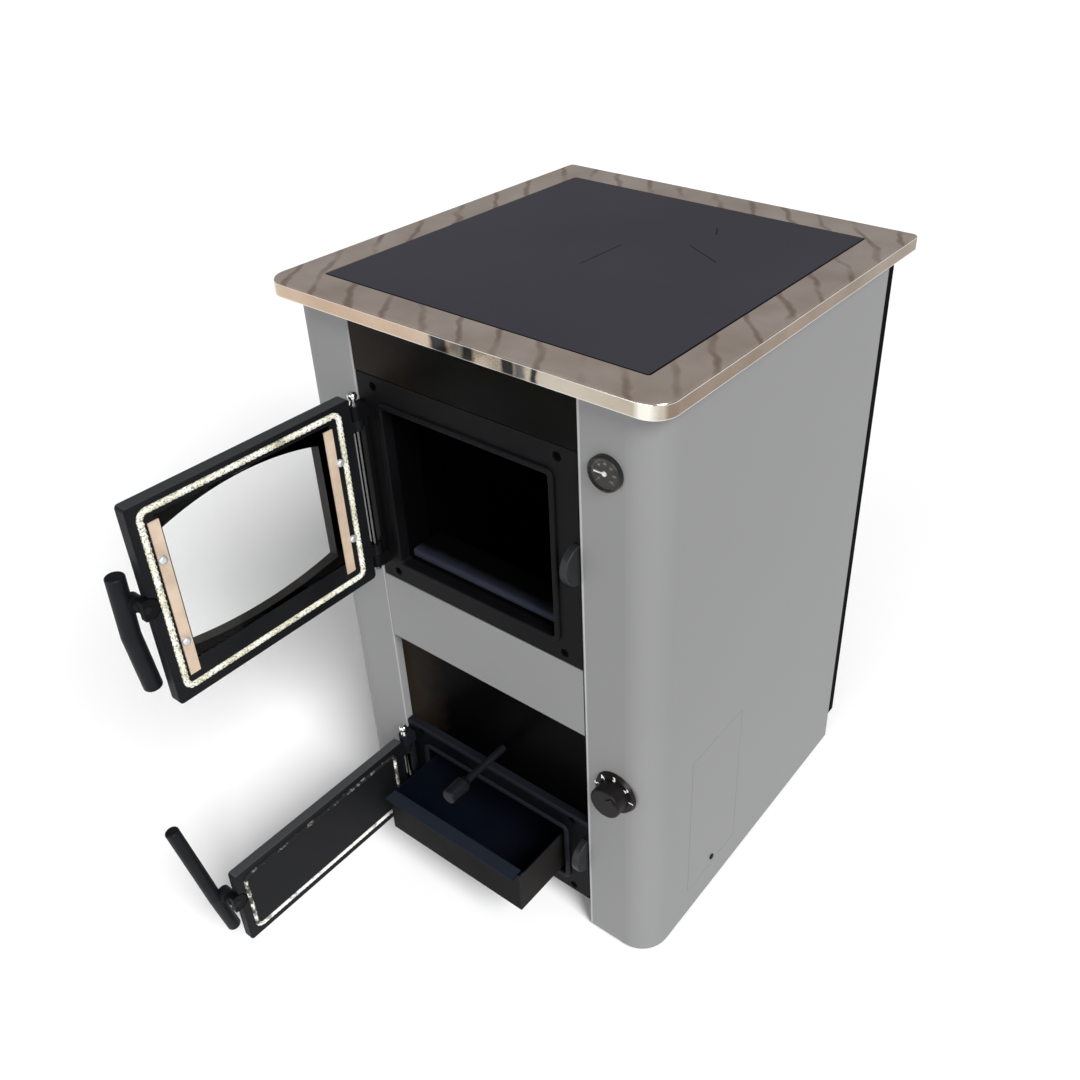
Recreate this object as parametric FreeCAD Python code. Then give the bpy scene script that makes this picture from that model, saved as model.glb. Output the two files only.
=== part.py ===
import FreeCAD
import Part
import math
import os

# Central heating cooker, millimetres. X right, Y to the back, Z up.
# The origin is on the floor, under the middle of the worktop trim.
# The doors stand open, the ash drawer and the shaker rod are pulled out.

V = FreeCAD.Vector
X_AXIS = V(1, 0, 0)
Y_AXIS = V(0, 1, 0)
Z_AXIS = V(0, 0, 1)

# Worktop trim and hob plate
overall_height = 850.0
trim_width = 560.0
trim_depth = 580.0
trim_skirt_height = 18.0
trim_sheet = 2.0
trim_front_radius = 28.0
trim_back_radius = 8.0
trim_edge_radius = 3.0
trim_lip_depth = 7.0
hob_front_border = 51.0
hob_side_border = 50.0
hob_rear_border = 55.0
hob_thickness = 8.0
hob_corner_radius = 2.0
hob_clearance = 1.5

# Casing
side_overhang = 15.0
front_overhang = 18.0
rear_overhang = 48.0
panel_sheet = 2.0
panel_floor_gap = 4.0
panel_return = 20.0
column_width = 100.0
column_radius = 40.0
column_edge_bend = 2.2
back_pan_depth = 15.0
back_pan_bottom = 53.0
back_pan_top_gap = 20.0
seam = 0.5

# Front, from the floor up
ash_frame_bottom = 49.0
ash_frame_height = 152.0
lower_panel_part = 158.0
upper_panel_part = 91.0
middle_panel_height = 104.0
fire_frame_height = 294.0
front_sheet = 1.5
front_bend = 1.2
middle_panel_proud = 1.0

# Door frames
frame_side_gap = 1.0
frame_recess = 1.5
frame_thickness = 12.0
frame_border = 39.0
fire_border_bottom = 34.0
ash_border_bottom = 28.0
ash_border_top = 34.0
frame_edge_radius = 3.0
opening_radius = 4.5
bead_width = 8.0
screw_edge = 27.0
fire_screw_level = 14.0
ash_screw_level = 11.0
screw_head_radius = 5.2
screw_shank_radius = 2.5
screw_clearance = 0.2
countersink_gap = 0.7
screw_socket_radius = 2.2
screw_socket_depth = 2.0

# Boiler
mount_plate = 6.0
mount_overlap = 7.0
throat_gap = 24.5
throat_wall = 4.0
weld_gap = 0.2
boiler_plate = 6.0
shell_wall = 4.0
water_gap = 32.0
side_cavity = 50.0
rear_cavity = 17.0
boiler_floor_level = 56.0
flue_drop = 110.0
flue_spigot_radius = 59.5
flue_wall = 3.0
flue_step = 2.5
flue_spigot_length = 45.0
socket_radius = 20.0
socket_bore_radius = 15.15
socket_length = 47.0
socket_inset = 65.0
flow_drop = 80.0
return_level = 110.0

# Base
rail_height = 32.0
rail_width = 40.0
plinth_width = 30.0
cross_rail_width = 30.0
cross_rail_cover_gap = 9.0
rear_cross_rail_setback = 75.0
insulation_bottom = 80.0
insulation_end_gap = 10.0
insulation_skin_gap = 2.0

# Grate, shaker and fuel guard
bearer_height = 12.0
bearer_width = 20.0
bearer_drop = 5.0
grate_thickness = 16.0
grate_end_gap = 3.0
grate_slot_width = 10.0
grate_slot_pitch = 24.0
grate_rim = 14.0
window_half_width = 70.0
window_length = 200.0
window_setback = 115.0
window_clearance = 2.0
window_rail_height = 8.0
window_rail_reach = 15.0
slide_gap = 0.3
shaker_width_gap = 2.0
shaker_length = 140.0
shaker_lug_size = 20.0
rod_radius = 5.0
rod_x = 13.0
rod_rise = 38.0
rod_fit = 0.08
rod_hole_clearance = 2.0
rod_out = 72.0
knob_length = 35.0
knob_front_radius = 9.8
knob_collar_radius = 10.8
knob_neck_length = 7.0
knob_neck_radius = 6.8
knob_front_round = 2.0
fuel_guard_height = 11.0
fuel_guard_depth = 50.0
fuel_guard_setback = 3.5
fuel_guard_side_gap = 1.0
fuel_guard_nose = 5.0

# Doors, drawn shut and then swung open
door_standoff = 7.5
door_open_angle = 90.0
door_edge_radius = 4.0
door_corner_radius = 5.0
fire_door_thickness = 18.0
ash_door_thickness = 15.0
door_margin_free = 10.0
door_margin_hinge = 14.0
fire_margin_top = 8.0
fire_margin_bottom = 12.0
ash_margin = 9.0
fire_gasket_width = 8.0
ash_gasket_width = 6.0
gasket_proud = 3.4
gasket_groove_depth = 5.0
gasket_groove_gap = 0.2
seal_gap = 0.4
panel_rib_width = 60.0
panel_rib_height = 1.5

# Door window
window_hinge_margin = 50.0
window_free_margin = 36.0
window_top_margin = 41.0
window_bottom_margin = 61.0
window_rise = 16.0
window_dip = 11.0
glass_thickness = 4.0
glass_gap = 0.5
glass_overlap_hinge = 16.0
glass_overlap_free = 6.0
glass_overlap_high = 4.0
clamp_width = 12.5
clamp_thickness = 1.5
clamp_end_gap = 10.5
clamp_gasket_gap = 3.0
clamp_screw_spacing = 108.0
free_screw_inset = 4.5
hinge_screw_outset = 2.6
hinge_clamp_shift = 6.2
clamp_screw_radius = 4.8
clamp_screw_head = 4.4
clamp_screw_round = 2.8
clamp_screw_depth = 8.0

# Door hinges
hinge_inset = 6.5
hinge_standoff = 14.5
hinge_pin_radius = 4.0
hinge_pin_fit = 0.06
hinge_eye_radius = 8.0
hinge_lug_height = 18.0
hinge_knuckle_height = 14.0
hinge_knuckle_gap = 0.5
hinge_rib_gap = 0.6
hinge_rib_reach = 4.0
fire_lug_drop = 15.0
fire_lug_rise = 11.0
ash_lug_drop = -1.0
ash_lug_rise = 8.0
pin_ball_radius = 6.0
pin_neck = 6.0
pin_collar_radius = 5.2
pin_tail = 6.0

# Latches and door handles
latch_offset = 4.0
fire_latch_rise = 135.0
ash_latch_rise = 78.0
latch_shaft_radius = 4.0
latch_shaft_fit = 0.06
latch_lug_radius = 6.5
cam_radius = 13.0
cam_thickness = 8.5
cam_flat = 5.0
cam_lug_gap = 0.5
keeper_width = 9.5
keeper_height = 52.0
keeper_rise = 3.0
keeper_reach = 24.0
keeper_floor = 4.0
keeper_pocket_gap = 1.5
keeper_edge_round = 1.5
keeper_lip_gap = 1.0
keeper_post = 3.5
keeper_boss_gap = 1.0
handle_offset = 32.0
fire_handle_radius = 10.5
ash_handle_radius = 8.6
handle_boss_radius = 9.5
handle_boss_gap = 0.3

# Fire door handle: ends and bend, sideways and up from its pivot
fire_handle_end_side = 4.0
fire_handle_end_drop = 118.0
fire_handle_bend_side = 10.5
fire_handle_bend_drop = 41.0
fire_handle_top_side = 8.5
fire_handle_top_rise = 36.0

# Ash door handle: ends and bend, sideways, up and outwards from its pivot
ash_handle_end_side = -2.5
ash_handle_end_drop = 70.0
ash_handle_bend_side = 11.0
ash_handle_top_side = 29.5
ash_handle_top_rise = 131.5
ash_handle_top_lean = 16.5

# Ash drawer
drawer_out = 107.5
drawer_home_setback = 31.5
drawer_left_gap = 2.0
drawer_right_gap = 10.0
drawer_height = 65.5
drawer_lift = 1.5
drawer_sheet = 2.0
drawer_lip_depth = 19.0
drawer_lip_forward = 8.5
drawer_lip_end_gap = 6.0
drawer_lip_height = 4.0
drawer_rear_gap = 45.0
runner_width = 20.0
runner_inset = 18.0

# Thermometer
gauge_side = 61.7
gauge_drop = 101.5
gauge_bezel_radius = 20.4
gauge_bezel_height = 8.0
gauge_case_radius = 18.0
gauge_case_depth = 30.0
gauge_hole_gap = 0.3
gauge_face_radius = 18.1
gauge_face_depth = 5.5
gauge_dial_thickness = 0.8
gauge_glass_thickness = 1.5
gauge_glass_setback = 0.4
gauge_rim_gap = 0.1
needle_length = 13.4
needle_tail = 2.0
needle_width = 1.4
needle_thickness = 1.2
needle_cap = 0.4
needle_cap_gap = 0.1
needle_hub_radius = 2.8
needle_dial_gap = 0.7
needle_pin_radius = 0.8
needle_pin_fit = 0.04
probe_radius = 3.5
probe_depth = 70.0
probe_gap = 0.2

# Thermostat and air flap
stat_side = 53.0
stat_level = 295.0
stat_body_size = 50.0
stat_body_depth = 36.0
stat_shaft_radius = 3.0
stat_shaft_fit = 0.05
stat_shaft_depth = 20.0
stat_hole_gap = 2.0
knob_skirt_radius = 30.0
knob_skirt_height = 5.0
knob_body_radius = 22.0
knob_body_height = 20.0
knob_panel_gap = 1.0
knob_taper = 0.8
knob_edge_radius = 2.5
pointer_width = 9.0
pointer_length = 11.0
pointer_height = 1.6
pointer_angle = 42.0
link_radius = 1.5
link_fit = 0.08
link_x_inset = 6.0
link_setback = 22.0
link_insert = 45.0
flap_length = 110.0
flap_depth = 72.0
flap_thickness = 3.0
flap_overlap = 6.0
flap_floor_gap = 6.0
flap_shaft_radius = 3.0
flap_shaft_fit = 0.06
flap_rail_gap = 30.0
flap_setback = 28.0
flap_lug_thickness = 8.0
flap_lug_radius = 7.0
flap_arm_thickness = 3.0
flap_arm_gap = 10.0
flap_rest_angle = 20.0
link_eye_height = 9.0
link_eye_length = 16.0
link_eye_wall = 2.2
link_pin_length = 9.0

# Side access cover
cover_setback = 91.0
cover_width = 120.0
cover_bottom = 50.0
cover_height = 246.0
cover_tab_reach = 8.0
cover_screw_rise = 12.0

# Places that follow from the sizes
body_half = trim_width / 2 - side_overhang
opening_half = body_half - column_width
front_y = -trim_depth / 2 + front_overhang
panel_back_y = trim_depth / 2 - rear_overhang
back_y = panel_back_y + back_pan_depth
panel_top = overall_height - trim_sheet
frame_half = opening_half - frame_side_gap
frame_face_y = front_y + frame_recess
mount_face_y = frame_face_y + frame_thickness
mount_back_y = mount_face_y + mount_plate
boiler_front_y = mount_back_y + throat_gap
boiler_inner_y = boiler_front_y + boiler_plate
boiler_back_y = panel_back_y - rear_cavity
boiler_half = body_half - side_cavity
firebox_half = boiler_half - 2 * shell_wall - water_gap
firebox_back_y = boiler_back_y - 2 * shell_wall - water_gap
water_x = boiler_half - shell_wall - water_gap / 2
shell_bottom = boiler_floor_level + boiler_plate
hob_bottom = overall_height - hob_thickness
shell_top = hob_bottom - boiler_plate
ash_frame_top = ash_frame_bottom + ash_frame_height
panels_height = panel_top - ash_frame_top - middle_panel_height - fire_frame_height
lower_panel_height = panels_height * lower_panel_part / (lower_panel_part + upper_panel_part)
lower_panel_top = ash_frame_top + lower_panel_height
fire_frame_bottom = lower_panel_top + middle_panel_height
fire_frame_top = fire_frame_bottom + fire_frame_height
aperture_half = frame_half - frame_border
fire_aperture = (fire_frame_bottom + fire_border_bottom, fire_frame_top - frame_border)
ash_aperture = (ash_frame_bottom + ash_border_bottom, ash_frame_top - ash_border_top)
bead_height = door_standoff - gasket_proud - seal_gap
door_inner_y = frame_face_y - door_standoff
door_left = -aperture_half - bead_width - door_margin_hinge
door_right = aperture_half + bead_width + door_margin_free
fire_door_bottom = fire_aperture[0] - bead_width - fire_margin_bottom
fire_door_top = fire_aperture[1] + bead_width + fire_margin_top
ash_door_bottom = ash_aperture[0] - bead_width - ash_margin
ash_door_top = ash_aperture[1] + bead_width + ash_margin
fire_lugs = (fire_door_bottom + fire_lug_rise, fire_door_top - fire_lug_drop)
ash_lugs = (ash_door_bottom + ash_lug_rise, ash_door_top - ash_lug_drop)
hinge_x = -opening_half + hinge_inset
hinge_y = frame_face_y - hinge_standoff
latch_x = door_right + latch_offset
fire_latch_z = fire_door_bottom + fire_latch_rise
ash_latch_z = ash_door_bottom + ash_latch_rise
cam_front_y = door_inner_y - cam_thickness
handle_y = door_inner_y - handle_offset
flue_z = overall_height - flue_drop
gauge_x = body_half - gauge_side
gauge_z = overall_height - gauge_drop
stat_x = body_half - stat_side
rod_level = ash_frame_top + rod_rise
bearer_level = rod_level - bearer_drop
grate_bottom = bearer_level + bearer_height
grate_top = grate_bottom + grate_thickness
window_front_y = boiler_inner_y + window_setback
shaker_front_y = window_front_y + window_clearance
drawer_bottom = ash_aperture[0] + drawer_lift
drawer_home_y = door_inner_y + drawer_home_setback
drawer_front_y = drawer_home_y - drawer_out
drawer_left = -aperture_half + drawer_left_gap
drawer_right = aperture_half - drawer_right_gap
flap_axis_y = boiler_inner_y + flap_setback
flap_axis_z = boiler_floor_level - flap_floor_gap
flap_centre_x = boiler_half - rail_width - flap_rail_gap - flap_length / 2
link_x = stat_x + link_x_inset
link_y = front_y + link_setback
cover_front_y = front_y + cover_setback

made = {}


def keep(name, shape):
    """Files one named piece, as a single solid or a group of them."""
    made[name] = shape


def block(x0, x1, y0, y1, z0, z1):
    """A box between two corners."""
    return Part.makeBox(x1 - x0, y1 - y0, z1 - z0, V(x0, y0, z0))


def rod(radius, start, end):
    """A round bar from one point to another."""
    run = end - start
    return Part.makeCylinder(radius, run.Length, start, run)


def joined(first, *others):
    """One solid from pieces that are cast, folded or welded together."""
    return first.multiFuse(list(others)).removeSplitter()


def corner_arc(centre, radius, start_degrees, to_point):
    """A quarter circle in the plane that to_point maps to."""
    points = []
    for turn in (0, 45, 90):
        angle = math.radians(start_degrees + turn)
        points.append(to_point(centre[0] + radius * math.cos(angle), centre[1] + radius * math.sin(angle)))
    return Part.Arc(*points).toShape()


def rounded_wire(u0, u1, v0, v1, radii, to_point):
    """A rectangle with round corners; radii run from the lower left, anticlockwise."""
    corners = ((u0, v0, 1, 1, 180), (u1, v0, -1, 1, 270), (u1, v1, -1, -1, 0), (u0, v1, 1, -1, 90))
    edges = []
    ends = []
    for (u, v, du, dv, start), radius in zip(corners, radii):
        arc = corner_arc((u + du * radius, v + dv * radius), radius, start, to_point)
        ends.append((arc.firstVertex().Point, arc.lastVertex().Point))
        edges.append(arc)
    outline = []
    for index, arc in enumerate(edges):
        outline.append(arc)
        outline.append(Part.makeLine(ends[index][1], ends[(index + 1) % 4][0]))
    return Part.Wire(outline)


def upright_plate(x0, x1, z0, z1, y0, y1, radius):
    """A round-cornered plate that faces the front."""
    wire = rounded_wire(x0, x1, z0, z1, (radius,) * 4, lambda u, v: V(u, y0, v))
    return Part.Face(wire).extrude(V(0, y1 - y0, 0))


def flat_plate(x0, x1, y0, y1, z0, z1, radii):
    """A round-cornered plate that lies level."""
    wire = rounded_wire(x0, x1, y0, y1, radii, lambda u, v: V(u, v, z0))
    return Part.Face(wire).extrude(V(0, 0, z1 - z0))


def edges_on_plane(shape, axis, value, tolerance=1e-4):
    """The edges of a shape that lie wholly in one plane square to an axis."""
    found = []
    for edge in shape.Edges:
        box = edge.BoundBox
        low, high = (box.XMin, box.XMax), (box.YMin, box.YMax)
        span = (low, high, (box.ZMin, box.ZMax))[axis]
        if abs(span[0] - value) < tolerance and abs(span[1] - value) < tolerance:
            found.append(edge)
    return found


def is_at(edge, x, y, tolerance=1e-4):
    """Whether an upright edge stands at a place."""
    return abs(edge.BoundBox.XMin - x) < tolerance and abs(edge.BoundBox.YMin - y) < tolerance


def mirrored(shape):
    """The same piece on the other side of the cooker."""
    return shape.mirror(V(0, 0, 0), X_AXIS)


def swung_open(shape):
    """Turns a piece of a shut door about the hinge to where it stands open."""
    turned = shape.copy()
    turned.rotate(V(hinge_x, hinge_y, 0), Z_AXIS, -door_open_angle)
    return turned


def make_worktop():
    """Stainless trim with a turned-down skirt, and the hob plate in its window."""
    half_w, half_d = trim_width / 2, trim_depth / 2
    radii = (trim_front_radius, trim_front_radius, trim_back_radius, trim_back_radius)
    skirt_bottom = overall_height - trim_skirt_height
    outer = flat_plate(-half_w, half_w, -half_d, half_d, skirt_bottom, overall_height, radii)
    outer = outer.makeFillet(trim_edge_radius, edges_on_plane(outer, 2, overall_height))
    inner_radii = tuple(radius - trim_sheet for radius in radii)
    hollow = flat_plate(-half_w + trim_sheet, half_w - trim_sheet, -half_d + trim_sheet,
                        half_d - trim_sheet,
                        skirt_bottom, panel_top, inner_radii)
    x1 = half_w - hob_side_border
    y0, y1 = -half_d + hob_front_border, half_d - hob_rear_border
    gap = hob_clearance
    hole_radii = (hob_corner_radius + gap,) * 4
    lip_radii = (hob_corner_radius + gap + trim_sheet,) * 4
    lip = flat_plate(-x1 - gap - trim_sheet, x1 + gap + trim_sheet, y0 - gap - trim_sheet,
                     y1 + gap + trim_sheet,
                     overall_height - trim_lip_depth, overall_height, lip_radii)
    hole = flat_plate(-x1 - gap, x1 + gap, y0 - gap, y1 + gap, skirt_bottom, overall_height, hole_radii)
    keep("worktop_trim", joined(outer.cut(hollow), lip).cut(hole))
    plate = flat_plate(-x1, x1, y0, y1, hob_bottom, overall_height, (hob_corner_radius,) * 4)
    keep("hob_plate", plate)


def side_panel_blank():
    """The right side panel: inner return, front column, round corner, side and rear return."""
    sheet, radius = panel_sheet, column_radius
    bend_x, bend_y = body_half - radius, front_y + radius
    inset = radius - sheet
    slope = math.sqrt(0.5)
    outer_mid = V(bend_x + radius * slope, bend_y - radius * slope, panel_floor_gap)
    inner_mid = V(bend_x + inset * slope, bend_y - inset * slope, panel_floor_gap)

    def at(x, y):
        return V(x, y, panel_floor_gap)

    outside = (at(opening_half, mount_face_y), at(opening_half, front_y), at(bend_x, front_y))
    outside_rear = (at(body_half, bend_y), at(body_half, panel_back_y),
                    at(body_half - panel_return, panel_back_y))
    inside_rear = (at(body_half - panel_return, panel_back_y - sheet),
                   at(body_half - sheet, panel_back_y - sheet),
                   at(body_half - sheet, bend_y))
    inside = (at(bend_x, front_y + sheet), at(opening_half + sheet, front_y + sheet),
              at(opening_half + sheet, mount_face_y))
    edges = [Part.makeLine(outside[0], outside[1]), Part.makeLine(outside[1], outside[2]),
             Part.Arc(outside[2], outer_mid, outside_rear[0]).toShape(),
             Part.makeLine(outside_rear[0], outside_rear[1]),
             Part.makeLine(outside_rear[1], outside_rear[2]),
             Part.makeLine(outside_rear[2], inside_rear[0]), Part.makeLine(inside_rear[0], inside_rear[1]),
             Part.makeLine(inside_rear[1], inside_rear[2]),
             Part.Arc(inside_rear[2], inner_mid, inside[0]).toShape(),
             Part.makeLine(inside[0], inside[1]), Part.makeLine(inside[1], inside[2]),
             Part.makeLine(inside[2], outside[0])]
    panel = Part.Face(Part.Wire(edges)).extrude(V(0, 0, panel_top - panel_floor_gap))
    uprights = [e for e in panel.Edges if e.BoundBox.ZLength > column_radius]
    corners = [e for e in uprights if is_at(e, opening_half, front_y)]
    return panel.makeFillet(column_edge_bend, corners)


def make_casing():
    """Side panels with their round columns, the back pan and the side access cover."""
    blank = side_panel_blank()
    keep("left_side_panel", mirrored(blank))
    skin = panel_sheet
    y0, y1 = cover_front_y, cover_front_y + cover_width
    z0, z1 = cover_bottom, cover_bottom + cover_height
    window = block(body_half - 2 * skin, body_half + skin, y0 - seam, y1 + seam, z0 - seam, z1 + seam)
    gauge_hole = rod(gauge_case_radius + gauge_hole_gap, V(gauge_x, front_y - skin, gauge_z),
                     V(gauge_x, front_y + 2 * skin, gauge_z))
    stat_hole = rod(stat_shaft_radius + stat_hole_gap, V(stat_x, front_y - skin, stat_level),
                    V(stat_x, front_y + 2 * skin, stat_level))
    keep("right_side_panel", blank.cut(window).cut(gauge_hole).cut(stat_hole))

    inner_x = body_half - skin
    cover = joined(block(inner_x, body_half, y0, y1, z0, z1),
                   block(inner_x - skin, inner_x, y0 + seam, y1 - seam, z1 - cover_tab_reach,
                         z1 + cover_tab_reach),
                   block(inner_x - skin, inner_x, y0 + seam, y1 - seam, z0 - cover_tab_reach,
                         z0 + cover_tab_reach))
    screw_at = V(body_half, (y0 + y1) / 2, z0 + cover_screw_rise)
    cover = cover.cut(rod(screw_shank_radius + screw_clearance, screw_at - X_AXIS * 4 * skin,
                          screw_at + X_AXIS))
    keep("side_access_cover", cover)

    pan = block(-body_half, body_half, panel_back_y + seam, back_y, back_pan_bottom,
                overall_height - back_pan_top_gap)
    hollow = block(-inner_x, inner_x, panel_back_y, back_y - skin, back_pan_bottom + skin,
                   overall_height - back_pan_top_gap - skin)
    pan = pan.cut(hollow)
    through = V(0, 2 * back_pan_depth, 0)
    flue_at = V(0, panel_back_y, flue_z)
    pan = pan.cut(rod(flue_spigot_radius + flue_step + screw_clearance, flue_at, flue_at + through))
    for level in (overall_height - flow_drop, return_level):
        at = V(boiler_half - socket_inset, panel_back_y, level)
        pan = pan.cut(rod(socket_radius + screw_clearance, at, at + through))

    screws = [pan_screw(screw_at, X_AXIS, 2 * skin)]
    screw_x = body_half - panel_return / 2
    low, high = back_pan_bottom + panel_return, overall_height - back_pan_top_gap - panel_return
    for x in (-screw_x, screw_x):
        for level in (low, (low + high) / 2, high):
            at = V(x, back_y, level)
            pan = pan.cut(rod(screw_shank_radius + screw_clearance, at - Y_AXIS * 2 * skin, at + Y_AXIS))
            screws.append(pan_screw(at, Y_AXIS, back_y - panel_back_y))
    keep("back_panel", pan)
    keep("panel_screws", Part.makeCompound(screws))


def pan_screw(at, outward, depth):
    """A domed screw: its head sits on the sheet at a point, its shank runs inwards."""
    shank = rod(screw_shank_radius, at - outward * depth, at)
    head = rod(screw_head_radius - 1.0, at, at + outward * 2.0)
    rim = [edge for edge in head.Edges if edge.Closed and (edge.CenterOfMass - at).dot(outward) > 1.0]
    return joined(head.makeFillet(0.9, rim), shank)


def make_front_panels():
    """Folded front panels between the two columns."""
    half = frame_half
    low, high = fire_frame_top + seam, panel_top - seam
    face = block(-half, half, frame_face_y, frame_face_y + front_sheet, low, high)
    foot = block(-half, half, frame_face_y, mount_face_y, low, low + front_sheet)
    head = block(-half, half, frame_face_y, mount_face_y, high - front_sheet, high)
    keep("upper_front_panel", bent_edges(joined(face, foot, head), frame_face_y))

    low, high = lower_panel_top, fire_frame_bottom - seam
    middle_y = frame_face_y - middle_panel_proud
    face = block(-half, half, middle_y, middle_y + front_sheet, low, high)
    foot = block(-half, half, middle_y, mount_face_y, low, low + front_sheet)
    head = block(-half, half, middle_y, mount_face_y, high - front_sheet, high)
    keep("middle_front_panel", bent_edges(joined(face, foot, head), middle_y))

    low, high = ash_frame_top + seam, lower_panel_top - seam
    sheet = block(-half, half, mount_face_y - front_sheet, mount_face_y, low, high)
    keep("lower_front_panel", sheet.cut(shaker_bore(rod_radius + rod_hole_clearance)))


def bent_edges(panel, face_y):
    """Rounds the long folds at the top and bottom of a front panel."""
    folds = [e for e in edges_on_plane(panel, 1, face_y) if e.BoundBox.XLength > frame_half]
    return panel.makeFillet(front_bend, folds)


def shaker_bore(radius):
    """The straight way of the shaker rod through the front."""
    return rod(radius, V(rod_x, front_y, rod_level), V(rod_x, boiler_inner_y + boiler_plate, rod_level))


def screw_places(bottom, top, level):
    """The four fixing screws of a door frame."""
    x = frame_half - screw_edge
    return [V(side * x, frame_face_y, z) for side in (-1, 1) for z in (bottom + level, top - level)]


def hinge_lug(z0, z1):
    """A frame lug: a flat bracket that ends in a round eye for the hinge pin."""
    eye = Part.makeCylinder(hinge_eye_radius, z1 - z0, V(hinge_x, hinge_y, z0))
    root = block(hinge_x - hinge_eye_radius + 2 * frame_side_gap, hinge_x + hinge_eye_radius, hinge_y,
                 frame_face_y + 1, z0, z1)
    return joined(eye, root)


def make_door_frame(name, bottom, top, aperture, lugs, level):
    """A cast frame with a sealing bead round its opening and two hinge lugs on a rib."""
    plate = upright_plate(-frame_half, frame_half, bottom, top, frame_face_y, mount_face_y, 2.0)
    plate = plate.makeFillet(frame_edge_radius / 2, edges_on_plane(plate, 1, frame_face_y))
    bead_y = frame_face_y - bead_height
    reach = bead_width
    bead = upright_plate(-aperture_half - reach, aperture_half + reach, aperture[0] - reach,
                         aperture[1] + reach,
                         bead_y, frame_face_y + 1, opening_radius + reach)
    hole = upright_plate(-aperture_half, aperture_half, aperture[0], aperture[1], bead_y - 1,
                         mount_face_y + 1,
                         opening_radius)
    bead = bead.cut(hole)
    bead = bead.makeFillet(bead_height * 0.6, edges_on_plane(bead, 1, bead_y))
    low = hinge_lug(lugs[0], lugs[0] + hinge_lug_height)
    high = hinge_lug(lugs[1] - hinge_lug_height, lugs[1])
    rib = block(-frame_half, hinge_x + hinge_rib_reach, hinge_y + hinge_eye_radius + hinge_rib_gap,
                frame_face_y + 1, lugs[0], lugs[1])
    frame = joined(plate.cut(hole), bead, rib, low, high)
    pin_hole = Part.makeCylinder(hinge_pin_radius + hinge_pin_fit, top - bottom,
                                 V(hinge_x, hinge_y, bottom))
    frame = frame.cut(pin_hole)
    for at in screw_places(bottom, top, level):
        frame = frame.cut(countersunk(at, countersink_gap, screw_clearance))
    keep(name, frame)


def countersunk(at, head_gap, shank_gap):
    """A flat-headed screw that points to the back; with gaps it is its own hole."""
    head_depth = screw_head_radius - screw_shank_radius
    head = Part.makeCone(screw_head_radius + head_gap, screw_shank_radius + head_gap, head_depth, at, Y_AXIS)
    shank = rod(screw_shank_radius + shank_gap, at, at + Y_AXIS * (frame_thickness + mount_plate))
    return joined(head, shank)


def make_frame_screws():
    """The eight flat-headed screws that hold both frames, each with a round socket."""
    places = screw_places(fire_frame_bottom, fire_frame_top, fire_screw_level)
    places += screw_places(ash_frame_bottom, ash_frame_top, ash_screw_level)
    screws = []
    for at in places:
        socket = rod(screw_socket_radius, at, at + Y_AXIS * screw_socket_depth)
        screws.append(countersunk(at, 0.0, 0.0).cut(socket))
    keep("frame_screws", Part.makeCompound(screws))
    return places


def make_hinge_pin(name, lugs):
    """A long hinge pin with a ball head."""
    bottom = V(hinge_x, hinge_y, lugs[0] - pin_tail)
    shoulder = V(hinge_x, hinge_y, lugs[1])
    neck_top = shoulder + Z_AXIS * pin_neck
    shaft = rod(hinge_pin_radius, bottom, shoulder)
    neck = Part.makeCone(pin_collar_radius, hinge_pin_radius * 0.85, pin_neck, shoulder, Z_AXIS)
    ball = Part.makeSphere(pin_ball_radius, neck_top + Z_AXIS * (pin_ball_radius - 1.0))
    keep(name, joined(shaft, neck, ball))


def make_keeper(name, latch_z):
    """The frame's catch: half a disc that stands on the frame, with a side pocket that holds the cam."""
    right = frame_half
    left = right - keeper_width
    middle = latch_z + keeper_rise
    half = keeper_height / 2
    radius = (half ** 2 + keeper_reach ** 2) / (2 * keeper_reach)
    centre = V(left, frame_face_y - keeper_reach + radius, middle)
    disc = rod(radius, centre, centre + X_AXIS * keeper_width)
    room_y = frame_face_y - keeper_reach - 1
    lump = disc.common(block(left, right, room_y, frame_face_y, middle - half, middle + half))
    rim = [e for e in edges_on_plane(lump, 0, right) if e.BoundBox.YLength > 1]
    lump = lump.makeFillet(keeper_edge_round, rim)
    reach = cam_radius + keeper_pocket_gap
    pocket = block(left - 1, right - keeper_post, cam_front_y - keeper_lip_gap, frame_face_y - keeper_floor,
                   latch_z - reach, latch_z + reach)
    keep(name, lump.cut(pocket))


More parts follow.
